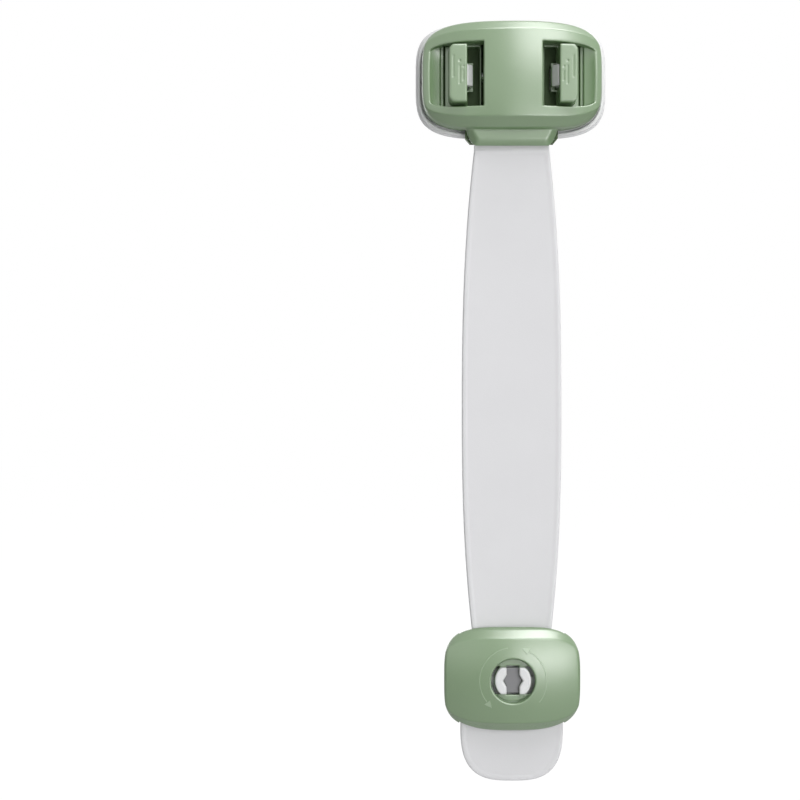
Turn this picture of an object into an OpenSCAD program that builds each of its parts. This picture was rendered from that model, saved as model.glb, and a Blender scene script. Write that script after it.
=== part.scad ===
// Cabinet safety lock: a pinch-release head on a stick-on latch base, a soft strap,
// and an adjuster block whose round lock clamps the strap.
// Every piece is drawn lying flat, with its back on the mounting surface and its height
// towards the viewer, and is then stood upright: X is the width, Z is up and -Y is the front.

/* [Head] */
// Width of the head cover's outline
head_w = 48.7; // [47:0.1:54]
// Height of the head cover's outline
head_l = 28.4; // [28:0.1:32]
// Height of the front at the head's middle, over the mounting surface
head_front_h = 14; // [13.6:0.1:16]
// How much lower the head's front is at its sides than at its middle
head_side_drop = 6.3; // [4:0.1:6.6]
// Height of the head's front face between its two bevels
head_face_l = 22.2; // [20:0.1:24]
// Depth of the bevels above and below the head's front face
head_bevel_d = 2.3; // [1.5:0.1:2.8]
// Wall of the head cover
head_wall = 1.6; // [1.2:0.1:1.8]
// How far the latch base stands out round the head
base_rim_w = 1.7; // [1:0.1:2.5]

/* [Finger openings] */
// Height of the head cover's band above and below an opening
opening_band_l = 5.55; // [5.4:0.05:5.9]
// Width of the head cover's rim beside an opening
opening_rim_w = 1.45; // [1.3:0.05:1.8]
// Width of the scooped finger rest
scoop_w = 3.5; // [3:0.1:4]
// Radius of the scooped finger rest
scoop_r = 5.2; // [4.8:0.1:6]

/* [Buttons] */
// Gap between the finger rest and a button's pad
pad_gap_w = 2.2; // [2:0.1:2.4]
// Width of a button's pad
pad_w = 4.9; // [4.8:0.1:5.2]
// Gap above and below a pad in its opening
pad_gap_l = 0.9; // [0.6:0.1:1.4]
// Height of a pad's face over the mounting surface
pad_h = 13.6; // [13:0.1:14.5]
// Radius of a pad's outer corners
pad_corner_r = 1.6; // [0.8:0.1:2.2]
// Travel of a button towards the middle
button_travel = 2.4; // [1.6:0.1:2.5]

/* [Latch base] */
// Thickness of the foam adhesive pads
foam_t = 0.8; // [0.5:0.1:1.2]
// Thickness of the latch base's plate
base_t = 1.8; // [1.5:0.1:2.2]
// Height of a catch along the head's side
catch_l = 5.7; // [4.5:0.1:6]
// Thickness of a catch's post
catch_t = 1.4; // [1:0.1:1.5]
// How far a catch's lip reaches inwards
lip_reach = 1.2; // [0.8:0.1:1.3]
// Thickness of a catch's lip
lip_t = 1.5; // [1:0.1:1.7]

/* [Strap] */
// Thickness of the strap
strap_t = 1.8; // [1.5:0.1:2.1]
// Width of the strap where it leaves the head
strap_root_w = 20.4; // [18:0.1:20.6]
// Width of the strap at its widest
strap_mid_w = 27.1; // [24:0.1:27.8]
// Width of the strap just above the adjuster
strap_waist_w = 21.8; // [20.4:0.1:24]
// Width of the strap's tail
strap_tail_w = 27.9; // [25:0.1:28.1]
// Distance from the head's middle down to the strap's widest point
strap_mid_z = 90.2; // [85:0.5:95]
// Distance from the head's middle down to the end of the tail
strap_end_z = 190.9; // [188:0.1:196]
// Width of the raised border along the strap's edges
strap_border_w = 1.2; // [0.8:0.1:1.6]
// Height of the raised border over the strap's front
strap_border_h = 0.2; // [0.1:0.05:0.4]
// Radius of the bead that turns in the head's barrel
bead_r = 1.5; // [1.35:0.05:1.6]
// Radius of the steel pin in the bead
pin_r = 0.6; // [0.5:0.05:0.7]
// Swing of the strap to the front, in degrees
strap_front_swing = 6; // [2:1:8]
// Swing of the strap to the back, in degrees
strap_back_swing = 25; // [15:1:28]

/* [Adjuster] */
// Distance from the head's middle down to the adjuster's middle
adjuster_z = 162.9; // [160:0.1:166]
// Width of the adjuster's side beside the strap's channel
adjuster_side_w = 4.2; // [4:0.1:5.5]
// Height of the adjuster cover's outline
adjuster_l = 27.6; // [26.5:0.1:31]
// Height of the front at the adjuster's middle, over the mounting surface
adjuster_front_h = 12.3; // [12.2:0.1:14]
// How much lower the adjuster's front is at its sides than at its middle
adjuster_side_drop = 3.7; // [3:0.1:3.9]
// Height of the adjuster's front face between its two bevels
adjuster_face_l = 21.4; // [19:0.1:23]
// Depth of the bevels above and below the adjuster's front face
adjuster_bevel_d = 2.5; // [1.5:0.1:2.8]
// Wall of the adjuster cover
adjuster_wall = 1.3; // [1.2:0.1:1.4]
// Radius of the round hole in the adjuster's front
rotor_hole_r = 5.95; // [5.5:0.05:6.3]

/* [Round lock] */
// Turn of the rotor from locked to open, in degrees
rotor_turn = 90; // [60:5:90]
// Lift of the clamp plate over the whole turn
clamp_lift = 0.6; // [0.4:0.05:0.7]
// Outer radius of the two key lugs
lug_r = 4.9; // [4.4:0.1:5.2]
// Height of the key lugs along the rotor's slot
lug_l = 7.2; // [6:0.1:8]
// Width of the key slot between the lugs
slot_w = 3.4; // [2.6:0.1:3.8]
// Distance between opposite corners of the hexagon in the key slot
key_hex_w = 5.3; // [4.6:0.1:6]
// How far the lugs stand over the rotor's face
lug_h = 1.1; // [0.6:0.1:1.2]

/* [Springs and screws] */
// Outer radius of a button spring
button_spring_r = 1.4; // [1.1:0.1:1.5]
// Radius of a button spring's wire
button_wire_r = 0.2; // [0.15:0.01:0.24]
// Turns of a button spring
button_spring_turns = 7; // [5:1:8]
// Outer radius of a clamp spring
clamp_spring_r = 1; // [0.8:0.05:1.05]
// Radius of a clamp spring's wire
clamp_wire_r = 0.15; // [0.12:0.01:0.18]
// Turns of a clamp spring
clamp_spring_turns = 5; // [4:1:6]
// Radius of a screw's shank
screw_r = 0.7; // [0.5:0.05:0.75]
// Radius of a screw's head
screw_head_r = 1.4; // [1.1:0.1:1.5]
// Height of a screw's head
screw_head_h = 0.9; // [0.6:0.1:1]

/* [Hidden] */
$fn = 96;

cover_green = "#9fb394";
base_white = "#eceded";
strap_grey = "#dcdcde";
key_grey = "#6f6f72";
foam_white = "#f2f2f0";
plate_grey = "#c9cccb";
steel = "#b9bcc0";

// Overrun of every cut, and overlap of joined forms
over = 0.5;
// Clearances of pieces that slide, of pieces that lie close, and of pins and seats
slide_gap = 0.3;
fit_gap = 0.15;
pin_gap = 0.04;
// Fullness of the outlines: 2 is an ellipse, and a higher power is squarer
outline_power = 4;
opening_power = 5;
tail_power = 3;
outline_steps = 64;
crown_fn = 240;

// Layers of the head, as heights over the mounting surface
base_top_h = foam_t + base_t;
skirt_h = base_top_h + slide_gap;
back_plate_recess = 0.2;
back_plate_t = 1.5;
back_plate_h = skirt_h + back_plate_recess;
back_plate_top_h = back_plate_h + back_plate_t;
foot_t = 2.1;
foot_h = back_plate_top_h + slide_gap;
foot_top_h = foot_h + foot_t;
ledge_t = 1.8;
ledge_rise = 1.2;
ledge_top_h = foot_top_h + ledge_rise;
catch_gap = 0.2;
lip_h = ledge_top_h + catch_gap;
lip_tip_t = 0.5;
catch_top_h = lip_h + lip_t;
hood_gap = 1.3;
hood_h = catch_top_h + hood_gap;

// Half sizes of the head's outlines
head_half_w = head_w / 2;
head_half_l = head_l / 2;
head_front_r = (head_half_w * head_half_w + head_side_drop * head_side_drop)
    / (2 * head_side_drop);
base_half_w = head_half_w + base_rim_w;
base_half_l = head_half_l + base_rim_w;
base_step_w = 0.5;
base_step_t = 0.8;
foam_inset = 0.9;
plate_half_w = head_half_w - head_wall - fit_gap;
plate_half_l = head_half_l - head_wall - fit_gap;

// The finger openings and the pads in them
opening_end_x = head_half_w - opening_rim_w;
opening_half_l = head_half_l - opening_band_l;
scoop_x = opening_end_x - scoop_w;
pad_end_x = scoop_x - pad_gap_w;
pad_x = pad_end_x - pad_w;
pad_half_l = opening_half_l - pad_gap_l;

// The catch, the button's ledge that it holds, and the window round it
catch_setback = 0.4;
catch_x = pad_x - catch_setback;
catch_end_x = catch_x + catch_t;
lip_x = catch_x - lip_reach;
catch_lean = 1.4;
ledge_end_x = catch_x - catch_gap;
relief_x = lip_x - slide_gap;
web_t = 1.5;
web_x = relief_x - web_t;
opening_lead = 1;
opening_x = web_x - opening_lead;
window_gap = 0.4;
window_half_l = catch_l / 2 + window_gap;
window_end_x = catch_end_x + button_travel + slide_gap;

// A button's foot, the rails and collar beside it, and its spring
foot_overlap = 0.7;
foot_half_l = opening_half_l + foot_overlap;
ledge_half_l = opening_half_l - slide_gap;
rail_w = 1;
rail_x = web_x - button_travel - slide_gap;
rail_y = foot_half_l + slide_gap;
stop_x = pad_end_x + slide_gap;
collar_w = 1;
collar_h = foot_top_h + slide_gap;
bridge_h = ledge_top_h + slide_gap;
cavity_half_w = scoop_x - collar_w;
spring_h = (foot_h + ledge_top_h) / 2;
spring_wall_half_w = 1;
spring_wall_half_l = 4;
spring_wall_top_h = spring_h + button_spring_r;
button_spring_l = web_x - spring_wall_half_w - 2 * pin_gap;
spring_peg_r = button_spring_r - 2 * button_wire_r - fit_gap;
spring_peg_l = 0.8;
scoop_axis_share = 0.15;
scoop_axis_x = scoop_x - scoop_axis_share * scoop_r;
scoop_edge_drop = (opening_end_x * opening_end_x) / (2 * head_front_r);
scoop_axis_h = head_front_h - scoop_edge_drop
    + sqrt(scoop_r * scoop_r - pow(opening_end_x - scoop_axis_x, 2));

// The barrel under the head, split at the pin between the cover and the back plate
barrel_wall = 0.85;
bead_hole_r = bead_r + fit_gap;
barrel_r = bead_hole_r + barrel_wall;
barrel_front_wall = 1.25;
barrel_front_r = bead_hole_r + barrel_front_wall;
barrel_lift = 0.1;
strap_h = skirt_h + barrel_lift + barrel_r;
barrel_out = 2;
barrel_y = -head_half_l - barrel_out;
barrel_in_y = -head_half_l + head_wall;
bead_half_w = strap_root_w / 2;
bead_hole_half_w = bead_half_w + slide_gap;
barrel_end_w = 2.25;
barrel_half_w = bead_hole_half_w + barrel_end_w;
barrel_end_half_w = bead_half_w;
bead_bore_r = pin_r + pin_gap;
pin_inset = 1.15;
pin_half_w = barrel_half_w - pin_inset;
strap_root_t = 1.2;
root_a = asin((strap_root_t / 2 + fit_gap) / bead_hole_r);
mouth_front_a = strap_front_swing + root_a;
mouth_back_a = strap_back_swing + root_a;
mouth_l = 4 * barrel_r;
mouth_open_l = 1.4;
tongue_l = 4.3;
tongue_half_w = barrel_half_w - fit_gap;
notch_half_w = barrel_half_w + fit_gap;

// The head's screws
head_screw_inset_w = 4.35;
head_screw_inset_l = 7.8;
head_screw_x = head_half_w - head_screw_inset_w;
head_screw_y = head_half_l - head_screw_inset_l;
head_pilot_h = 6.2;
head_screw_end_h = head_pilot_h - fit_gap;

// The strap's outline
bulge_power = 2.5;
flare_inset = 3;
strap_root_y = barrel_y - barrel_front_r - slide_gap;
strap_mid_y = -strap_mid_z;
adjuster_y = -adjuster_z;
channel_half_w = strap_tail_w / 2 + slide_gap;
adjuster_half_w = channel_half_w + adjuster_side_w;
adjuster_half_l = adjuster_l / 2;
adjuster_front_r = (adjuster_half_w * adjuster_half_w + adjuster_side_drop * adjuster_side_drop)
    / (2 * adjuster_side_drop);
waist_y = adjuster_y + adjuster_half_l;
narrow_y = waist_y - flare_inset;
flare_y = adjuster_y - adjuster_half_l + flare_inset;
tail_l = 15.7;
tail_y = -strap_end_z + tail_l;
strap_steps = 48;
tail_steps = 32;

// Layers of the adjuster, as heights over the mounting surface
channel_gap = 0.2;
channel_h = strap_h - strap_t / 2 - channel_gap;
channel_top_h = strap_h + strap_t / 2 + slide_gap;
strap_face_h = strap_h + strap_t / 2 - strap_border_h;
grip_h = strap_face_h + fit_gap;
grip_rib_h = 0.5;
clamp_h = grip_h + grip_rib_h;
clamp_t = 0.8;
clamp_top_h = clamp_h + clamp_t;
follower_rise = 0.1;
follower_h = clamp_top_h + clamp_lift + follower_rise;
flange_h = follower_h + fit_gap + clamp_lift;
flange_t = 0.7;
flange_top_h = flange_h + flange_t;
washer_t = 0.3;
washer_h = flange_top_h + pin_gap;
ceiling_h = washer_h + washer_t + pin_gap;
boss_rise = 0.5;
boss_top_h = flange_top_h + boss_rise;

// The rotor, its cam ramps and its key recess
boss_r = rotor_hole_r - fit_gap;
flange_w = 1.4;
flange_r = boss_r + flange_w;
seat_r = flange_r + slide_gap;
washer_in_r = rotor_hole_r + fit_gap;
washer_out_r = flange_r - pin_gap;
stem_r = 2.4;
stem_h = clamp_h + fit_gap;
ramp_in_r = 3.4;
ramp_out_r = 6.4;
ramp_start_a = 2;
ramp_margin_a = 1;
follower_in_r = ramp_in_r + slide_gap;
follower_out_r = ramp_out_r - slide_gap;
follower_half_a = 8;
ramp_steps = 24;
follower_steps = 4;
recess_d = 0.7;
recess_h = boss_top_h - recess_d;
key_plate_t = 0.25;

// The clamp plate, its springs and the adjuster's screws
clamp_side_gap = 0.35;
clamp_end_gap = 4.4;
clamp_half_w = channel_half_w - clamp_side_gap;
clamp_half_l = adjuster_half_l - clamp_end_gap;
clamp_hole_r = stem_r + slide_gap;
grip_half_w = 8.6;
grip_pitch = 2.6;
grip_rib_w = 0.9;
grip_side_ribs = 3;
arm_half_l = 1.6;
ear_x = channel_half_w + fit_gap;
ear_w = 2;
ear_end_x = ear_x + ear_w;
ear_t = 0.8;
arm_lap = 0.6;
spring_slot_end_x = ear_end_x + slide_gap;
spring_slot_half_l = arm_half_l + slide_gap;
clamp_spring_x = ear_x + ear_w / 2;
pocket_d = 1;
pocket_r = clamp_spring_r + fit_gap;
clamp_spring_h = channel_h - pocket_d + pin_gap;
clamp_spring_l = grip_h - pin_gap - clamp_spring_h;
adjuster_base_inset = 1.15;
adjuster_screw_inset_l = 7.8;
adjuster_screw_y = adjuster_half_l - adjuster_screw_inset_l;
adjuster_boss_wall = 0.5;
adjuster_boss_r = screw_r + adjuster_boss_wall;
adjuster_screw_x = channel_half_w + adjuster_boss_r;
adjuster_pilot_h = 8.2;
adjuster_screw_end_h = adjuster_pilot_h - fit_gap;
coil_steps = 12;
coil_sides = 6;

// Outline of a squared oval
function squircle(half_w, half_l, power) = [
    for (i = [0 : outline_steps - 1])
        let (a = 360 * i / outline_steps)
            [half_w * sign(cos(a)) * pow(abs(cos(a)), 2 / power),
             half_l * sign(sin(a)) * pow(abs(sin(a)), 2 / power)]
];

// Half the strap's width on its lower run, which narrows towards the adjuster
function lower_half_w(y) = strap_mid_w / 2
    - (strap_mid_w - strap_waist_w) / 2 * pow((strap_mid_y - y) / (strap_mid_y - waist_y), bulge_power);

// Half the strap's width inside the adjuster, where it flares to the tail
function flare_half_w(y) = lower_half_w(narrow_y) + (strap_tail_w / 2 - lower_half_w(narrow_y))
    * (1 - cos(180 * (narrow_y - y) / (narrow_y - flare_y))) / 2;

// Half the strap's width at a place along it
function strap_half_w(y) =
    y > strap_mid_y ? strap_mid_w / 2 - (strap_mid_w - strap_root_w) / 2
        * pow((y - strap_mid_y) / (strap_root_y - strap_mid_y), bulge_power)
    : y > narrow_y ? lower_half_w(y)
    : y > flare_y ? flare_half_w(y)
    : strap_tail_w / 2;

// One side of the strap from the root to the tail, and the tail's round end
function strap_side(inset, side) = [
    for (i = [0 : strap_steps])
        let (y = strap_root_y - inset + (tail_y - strap_root_y + inset) * i / strap_steps)
            [side * (strap_half_w(y) - inset), y]
];
function strap_tail(inset) = [
    for (i = [1 : tail_steps - 1])
        let (a = -180 * i / tail_steps)
            [(strap_tail_w / 2 - inset) * sign(cos(a)) * pow(abs(cos(a)), 2 / tail_power),
             tail_y - (tail_l - inset) * pow(abs(sin(a)), 2 / tail_power)]
];
function reversed(points) = [for (i = [len(points) - 1 : -1 : 0]) points[i]];

// Sections of a coil spring's wire, and of a ring segment between two radii
function coil_rings(outer_r, wire_r, length, turns) = [
    for (i = [0 : coil_steps * turns])
        let (a = 360 * i / coil_steps, mid_r = outer_r - wire_r)
            [for (k = [0 : coil_sides - 1])
                let (t = 360 * k / coil_sides, r = mid_r + wire_r * cos(t))
                    [r * cos(a), r * sin(a),
                     wire_r - wire_r * sin(t) + (length - 2 * wire_r) * i / (coil_steps * turns)]]
];
function segment_section(in_r, out_r, a, low_h, high_h) = [
    [in_r * cos(a), in_r * sin(a), high_h],
    [out_r * cos(a), out_r * sin(a), high_h],
    [out_r * cos(a), out_r * sin(a), low_h],
    [in_r * cos(a), in_r * sin(a), low_h]
];

// Stands the flat drawing upright
module upright() rotate([90, 0, 0]) children();

module at_adjuster() translate([0, adjuster_y, 0]) children();

module both_sides() {
    children();
    mirror([1, 0, 0]) children();
}

module both_ends() {
    children();
    mirror([0, 1, 0]) children();
}

module at_corners(x, y) both_sides() both_ends() translate([x, y, 0]) children();

module block(low, high) translate(low) cube(high - low);

module slab(points, low_h, high_h) translate([0, 0, low_h]) linear_extrude(high_h - low_h) polygon(points);

module upright_rod(r, low_h, high_h) translate([0, 0, low_h]) cylinder(r = r, h = high_h - low_h);

module rod_x(r, half_w) rotate([0, 90, 0]) cylinder(r = r, h = 2 * half_w, center = true);

// Solid through a row of equal sections, each counter-clockwise to who meets it
module skin(rings) {
    sides = len(rings[0]);
    last = (len(rings) - 1) * sides;
    polyhedron(
        points = [for (ring = rings) each ring],
        faces = concat(
            [for (k = [1 : sides - 2]) [0, k, k + 1]],
            [for (k = [1 : sides - 2]) [last, last + k + 1, last + k]],
            [for (i = [0 : len(rings) - 2], k = [0 : sides - 1])
                [i * sides + k, (i + 1) * sides + k, i * sides + (k + 1) % sides]],
            [for (i = [0 : len(rings) - 2], k = [0 : sides - 1])
                [(i + 1) * sides + k, (i + 1) * sides + (k + 1) % sides, i * sides + (k + 1) % sides]]));
}

// Shell form: a squared oval outline under a front that is crowned across and bevelled at its ends
module crowned_form(half_w, half_l, face_l, front_h, front_r, bevel_d, inset, low_h) {
    r = front_r - inset;
    face_y = face_l / 2;
    end_y = half_l + over;
    end_r = r - bevel_d * (end_y - face_y) / (half_l - face_y);
    intersection() {
        slab(squircle(half_w - inset, half_l - inset, outline_power), low_h, front_h + over);
        translate([0, 0, front_h - front_r])
            rotate([90, 0, 0])
                rotate_extrude($fn = crown_fn)
                    polygon([[0, -end_y], [end_r, -end_y], [r, -face_y], [r, face_y], [end_r, end_y], [0, end_y]]);
    }
}

module head_form(inset, low_h)
    crowned_form(head_half_w, head_half_l, head_face_l, head_front_h, head_front_r, head_bevel_d, inset, low_h);

module adjuster_form(inset, low_h)
    crowned_form(adjuster_half_w, adjuster_half_l, adjuster_face_l, adjuster_front_h, adjuster_front_r,
                 adjuster_bevel_d, inset, low_h);

// Latch base
module catch() translate([0, catch_l / 2, 0]) rotate([90, 0, 0]) linear_extrude(catch_l)
    polygon([[catch_x, base_top_h - over], [catch_x, lip_h], [lip_x, lip_h], [lip_x, lip_h + lip_tip_t],
             [lip_x + catch_lean, catch_top_h], [catch_end_x, catch_top_h], [catch_end_x, base_top_h - over]]);

module latch_base() color(base_white) upright() {
    slab(squircle(base_half_w, base_half_l, outline_power), foam_t, base_top_h - base_step_t);
    slab(squircle(base_half_w - base_step_w, base_half_l - base_step_w, outline_power), foam_t, base_top_h);
    both_sides() catch();
}

module latch_adhesive_pad() color(foam_white) upright()
    slab(squircle(base_half_w - foam_inset, base_half_l - foam_inset, outline_power), 0, foam_t);

// Finger opening, deep beside the button and scooped at its outer end
module finger_opening() intersection() {
    slab(squircle(opening_end_x, opening_half_l, opening_power), back_plate_top_h, head_front_h + over);
    union() {
        block([opening_x, -head_half_l, back_plate_top_h], [scoop_x, head_half_l, head_front_h + over]);
        translate([scoop_axis_x, head_half_l, scoop_axis_h])
            rotate([90, 0, 0])
                cylinder(r = scoop_r, h = head_l);
    }
}

// Wall round the deep part of a finger opening, open below for the button's foot and ledge
module opening_collar() difference() {
    block([opening_x - collar_w, -opening_half_l - collar_w, collar_h],
          [cavity_half_w + over, opening_half_l + collar_w, head_front_h]);
    block([opening_x - collar_w - over, -opening_half_l, collar_h - over],
          [opening_x + over, opening_half_l, bridge_h]);
}

// Outline of the barrel, whose outer corners are cut away to the strap's width
module barrel_outline(half_w, in_y)
    polygon([[-half_w, in_y], [-half_w, barrel_y], [-barrel_end_half_w, barrel_y - barrel_front_r],
             [barrel_end_half_w, barrel_y - barrel_front_r], [half_w, barrel_y], [half_w, in_y]]);

// Room for the bead, for the pin and for the swinging strap
module barrel_room() translate([0, barrel_y, strap_h]) {
    rod_x(bead_hole_r, bead_hole_half_w);
    rod_x(pin_r + pin_gap, pin_half_w + fit_gap);
    rotate([90, 0, 90])
        linear_extrude(2 * bead_hole_half_w, center = true)
            polygon([[0, 0], [-mouth_l * cos(mouth_front_a), mouth_l * sin(mouth_front_a)],
                     [-mouth_l * cos(mouth_back_a), -mouth_l * sin(mouth_back_a)]]);
    rotate([90, 0, 90])
        linear_extrude(2 * (barrel_half_w + over), center = true)
            polygon([[-mouth_open_l, mouth_open_l * tan(mouth_front_a)],
                     [-mouth_l * cos(mouth_front_a), mouth_l * sin(mouth_front_a)],
                     [-mouth_l * cos(mouth_back_a), -mouth_l * sin(mouth_back_a)],
                     [-mouth_open_l, -mouth_open_l * tan(mouth_back_a)]]);
}

module head_cover() color(cover_green) upright() difference() {
    union() {
        difference() {
            head_form(0, skirt_h);
            intersection() {
                head_form(head_wall, back_plate_top_h);
                block([-cavity_half_w, -head_half_l, back_plate_top_h], [cavity_half_w, head_half_l, head_front_h]);
            }
            slab(squircle(head_half_w - head_wall, head_half_l - head_wall, outline_power),
                 skirt_h - over, back_plate_top_h + pin_gap);
            block([-notch_half_w, -head_half_l - over, skirt_h - over], [notch_half_w, barrel_y + tongue_l, strap_h]);
        }
        intersection() {
            head_form(head_wall / 2, collar_h);
            both_sides() opening_collar();
        }
        intersection() {
            translate([0, 0, strap_h]) linear_extrude(barrel_front_r) barrel_outline(barrel_half_w, barrel_in_y);
            union() {
                translate([0, barrel_y, strap_h]) rod_x(barrel_front_r, barrel_half_w);
                block([-barrel_half_w, barrel_y, strap_h], [barrel_half_w, barrel_in_y, strap_h + barrel_front_r]);
            }
        }
    }
    both_sides() finger_opening();
    barrel_room();
    at_corners(head_screw_x, head_screw_y) upright_rod(screw_r + pin_gap, skirt_h, head_pilot_h);
}

// Side rail of a button's foot, with the stop that the foot rests on
module foot_rail() {
    block([rail_x, rail_y, back_plate_h], [stop_x + over, rail_y + rail_w, foot_top_h]);
    block([stop_x, opening_half_l, back_plate_h], [cavity_half_w - fit_gap, rail_y + rail_w, foot_top_h]);
}

module head_back_plate() color(cover_green) upright() difference() {
    union() {
        slab(squircle(plate_half_w, plate_half_l, outline_power), back_plate_h, back_plate_top_h);
        both_sides() both_ends() foot_rail();
        block([-spring_wall_half_w, -spring_wall_half_l, back_plate_h],
              [spring_wall_half_w, spring_wall_half_l, spring_wall_top_h]);
        translate([0, 0, spring_h]) rod_x(spring_peg_r, spring_wall_half_w + spring_peg_l);
        intersection() {
            translate([0, 0, skirt_h])
                linear_extrude(strap_h - pin_gap - skirt_h)
                    barrel_outline(tongue_half_w, barrel_y + tongue_l);
            union() {
                translate([0, barrel_y, strap_h]) rod_x(barrel_r, barrel_half_w);
                block([-barrel_half_w, barrel_y, back_plate_h], [barrel_half_w, barrel_y + tongue_l, strap_h]);
            }
        }
    }
    both_sides()
        block([relief_x, -window_half_l, back_plate_h - over],
              [catch_end_x + slide_gap, window_half_l, back_plate_top_h + over]);
    barrel_room();
    at_corners(head_screw_x, head_screw_y) {
        upright_rod(screw_r + pin_gap, back_plate_h - over, back_plate_top_h + over);
        upright_rod(screw_head_r + pin_gap, back_plate_h - over, back_plate_h + screw_head_h + 2 * pin_gap);
    }
}

// Button of the right-hand side
module pad_form() {
    corner_x = pad_end_x - pad_corner_r;
    corner_y = pad_half_l - pad_corner_r;
    block([pad_x, -pad_half_l, foot_h], [corner_x, pad_half_l, pad_h]);
    block([pad_x, -corner_y, foot_h], [pad_end_x, corner_y, pad_h]);
    both_ends() translate([corner_x, corner_y, 0]) upright_rod(pad_corner_r, foot_h, pad_h);
}

module button() difference() {
    union() {
        block([web_x, -foot_half_l, foot_h], [pad_end_x, foot_half_l, foot_top_h]);
        block([web_x, -ledge_half_l, foot_h], [ledge_end_x, ledge_half_l, ledge_top_h]);
        pad_form();
        translate([web_x, 0, spring_h]) rod_x(spring_peg_r, spring_peg_l);
    }
    block([ledge_end_x, -window_half_l, foot_h - over], [window_end_x, window_half_l, hood_h]);
    block([relief_x, -window_half_l, foot_h - over], [ledge_end_x + over, window_half_l, ledge_top_h - ledge_t]);
}

module left_button() color(cover_green) upright() mirror([1, 0, 0]) button();

module right_button() color(cover_green) upright() button();

module button_spring()
    translate([spring_wall_half_w + pin_gap, 0, spring_h])
        rotate([0, 90, 0])
            skin(coil_rings(button_spring_r, button_wire_r, button_spring_l, button_spring_turns));

module left_button_spring() color(steel) upright() mirror([1, 0, 0]) button_spring();

module right_button_spring() color(steel) upright() button_spring();

// Screw driven from the back
module screw(low_h, end_h) {
    upright_rod(screw_head_r, low_h, low_h + screw_head_h);
    upright_rod(screw_r, low_h, end_h);
}

module head_screws() color(steel) upright()
    at_corners(head_screw_x, head_screw_y) screw(back_plate_h + pin_gap, head_screw_end_h);

module strap_anchor_pin() color(steel) upright() translate([0, barrel_y, strap_h]) rod_x(pin_r, pin_half_w);

// Strap
module strap_outline(inset)
    polygon(concat(strap_side(inset, 1), strap_tail(inset), reversed(strap_side(inset, -1))));

module strap() color(strap_grey) upright() difference() {
    union() {
        translate([0, 0, strap_h - strap_t / 2]) linear_extrude(strap_t) strap_outline(0);
        block([-bead_half_w, strap_root_y - over, strap_h - strap_root_t / 2],
              [bead_half_w, barrel_y, strap_h + strap_root_t / 2]);
        translate([0, barrel_y, strap_h]) rod_x(bead_r, bead_half_w);
    }
    translate([0, 0, strap_face_h]) linear_extrude(strap_border_h + over) strap_outline(strap_border_w);
    translate([0, barrel_y, strap_h]) rod_x(bead_bore_r, bead_half_w + over);
}

// Adjuster
module adjuster_cover() color(cover_green) upright() at_adjuster() difference() {
    union() {
        difference() {
            adjuster_form(0, channel_h);
            adjuster_form(adjuster_wall, channel_top_h);
        }
        intersection() {
            adjuster_form(0, channel_h);
            union() {
                upright_rod(seat_r, ceiling_h, adjuster_front_h + over);
                at_corners(adjuster_screw_x, adjuster_screw_y)
                    upright_rod(adjuster_boss_r, channel_h, adjuster_front_h);
            }
        }
    }
    block([-channel_half_w, -adjuster_half_l - over, channel_h - over],
          [channel_half_w, adjuster_half_l + over, channel_top_h]);
    both_sides()
        block([channel_half_w - over, -spring_slot_half_l, channel_h - over],
              [spring_slot_end_x, spring_slot_half_l, channel_top_h + over]);
    upright_rod(rotor_hole_r, channel_top_h, adjuster_front_h + over);
    at_corners(adjuster_screw_x, adjuster_screw_y)
        upright_rod(screw_r + pin_gap, channel_h - over, adjuster_pilot_h);
}

module adjuster_base() color(base_white) upright() at_adjuster() difference() {
    slab(squircle(adjuster_half_w - adjuster_base_inset, adjuster_half_l - adjuster_base_inset, outline_power),
         foam_t, channel_h);
    both_sides() translate([clamp_spring_x, 0, 0]) upright_rod(pocket_r, channel_h - pocket_d, channel_h + over);
    at_corners(adjuster_screw_x, adjuster_screw_y) {
        upright_rod(screw_r + pin_gap, foam_t - over, channel_h + over);
        upright_rod(screw_head_r + pin_gap, foam_t - over, foam_t + screw_head_h + 2 * pin_gap);
    }
}

module adjuster_adhesive_pad() color(foam_white) upright() at_adjuster()
    slab(squircle(adjuster_half_w - adjuster_base_inset - foam_inset,
                  adjuster_half_l - adjuster_base_inset - foam_inset, outline_power), 0, foam_t);

module adjuster_screws() color(steel) upright() at_adjuster()
    at_corners(adjuster_screw_x, adjuster_screw_y) screw(foam_t + pin_gap, adjuster_screw_end_h);

// Cam ramp under the rotor's flange, thickest over its follower in the locked place
module cam_ramp(follower_a) {
    low_a = ramp_start_a - rotor_turn;
    high_a = follower_half_a + ramp_margin_a;
    skin([for (i = [0 : ramp_steps])
        let (a = low_a + (high_a - low_a) * i / ramp_steps)
            segment_section(ramp_in_r, ramp_out_r, follower_a + a,
                            flange_h - clamp_lift * (1 + a / rotor_turn), flange_h + over)]);
}

module cam_follower(follower_a)
    skin([for (i = [0 : follower_steps])
        let (a = follower_half_a * (2 * i / follower_steps - 1))
            segment_section(follower_in_r, follower_out_r, follower_a + a,
                            clamp_top_h - over, follower_h - clamp_lift * a / rotor_turn)]);

// Key recess: a slot with a hexagon in its middle
module key_form(gap, low_h, high_h) {
    block([gap - slot_w / 2, gap - lug_r, low_h], [slot_w / 2 - gap, lug_r - gap, high_h]);
    translate([0, 0, low_h]) cylinder(r = key_hex_w / 2 - gap, h = high_h - low_h, $fn = 6);
}

module lock_rotor() color(cover_green) upright() at_adjuster() difference() {
    union() {
        upright_rod(flange_r, flange_h, flange_top_h);
        upright_rod(boss_r, flange_h, boss_top_h);
        upright_rod(stem_r, stem_h, flange_top_h);
        cam_ramp(0);
        cam_ramp(180);
    }
    key_form(0, recess_h, boss_top_h + over);
}

module rotor_key_plate() color(key_grey) upright() at_adjuster()
    key_form(pin_gap, recess_h, recess_h + key_plate_t);

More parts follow.
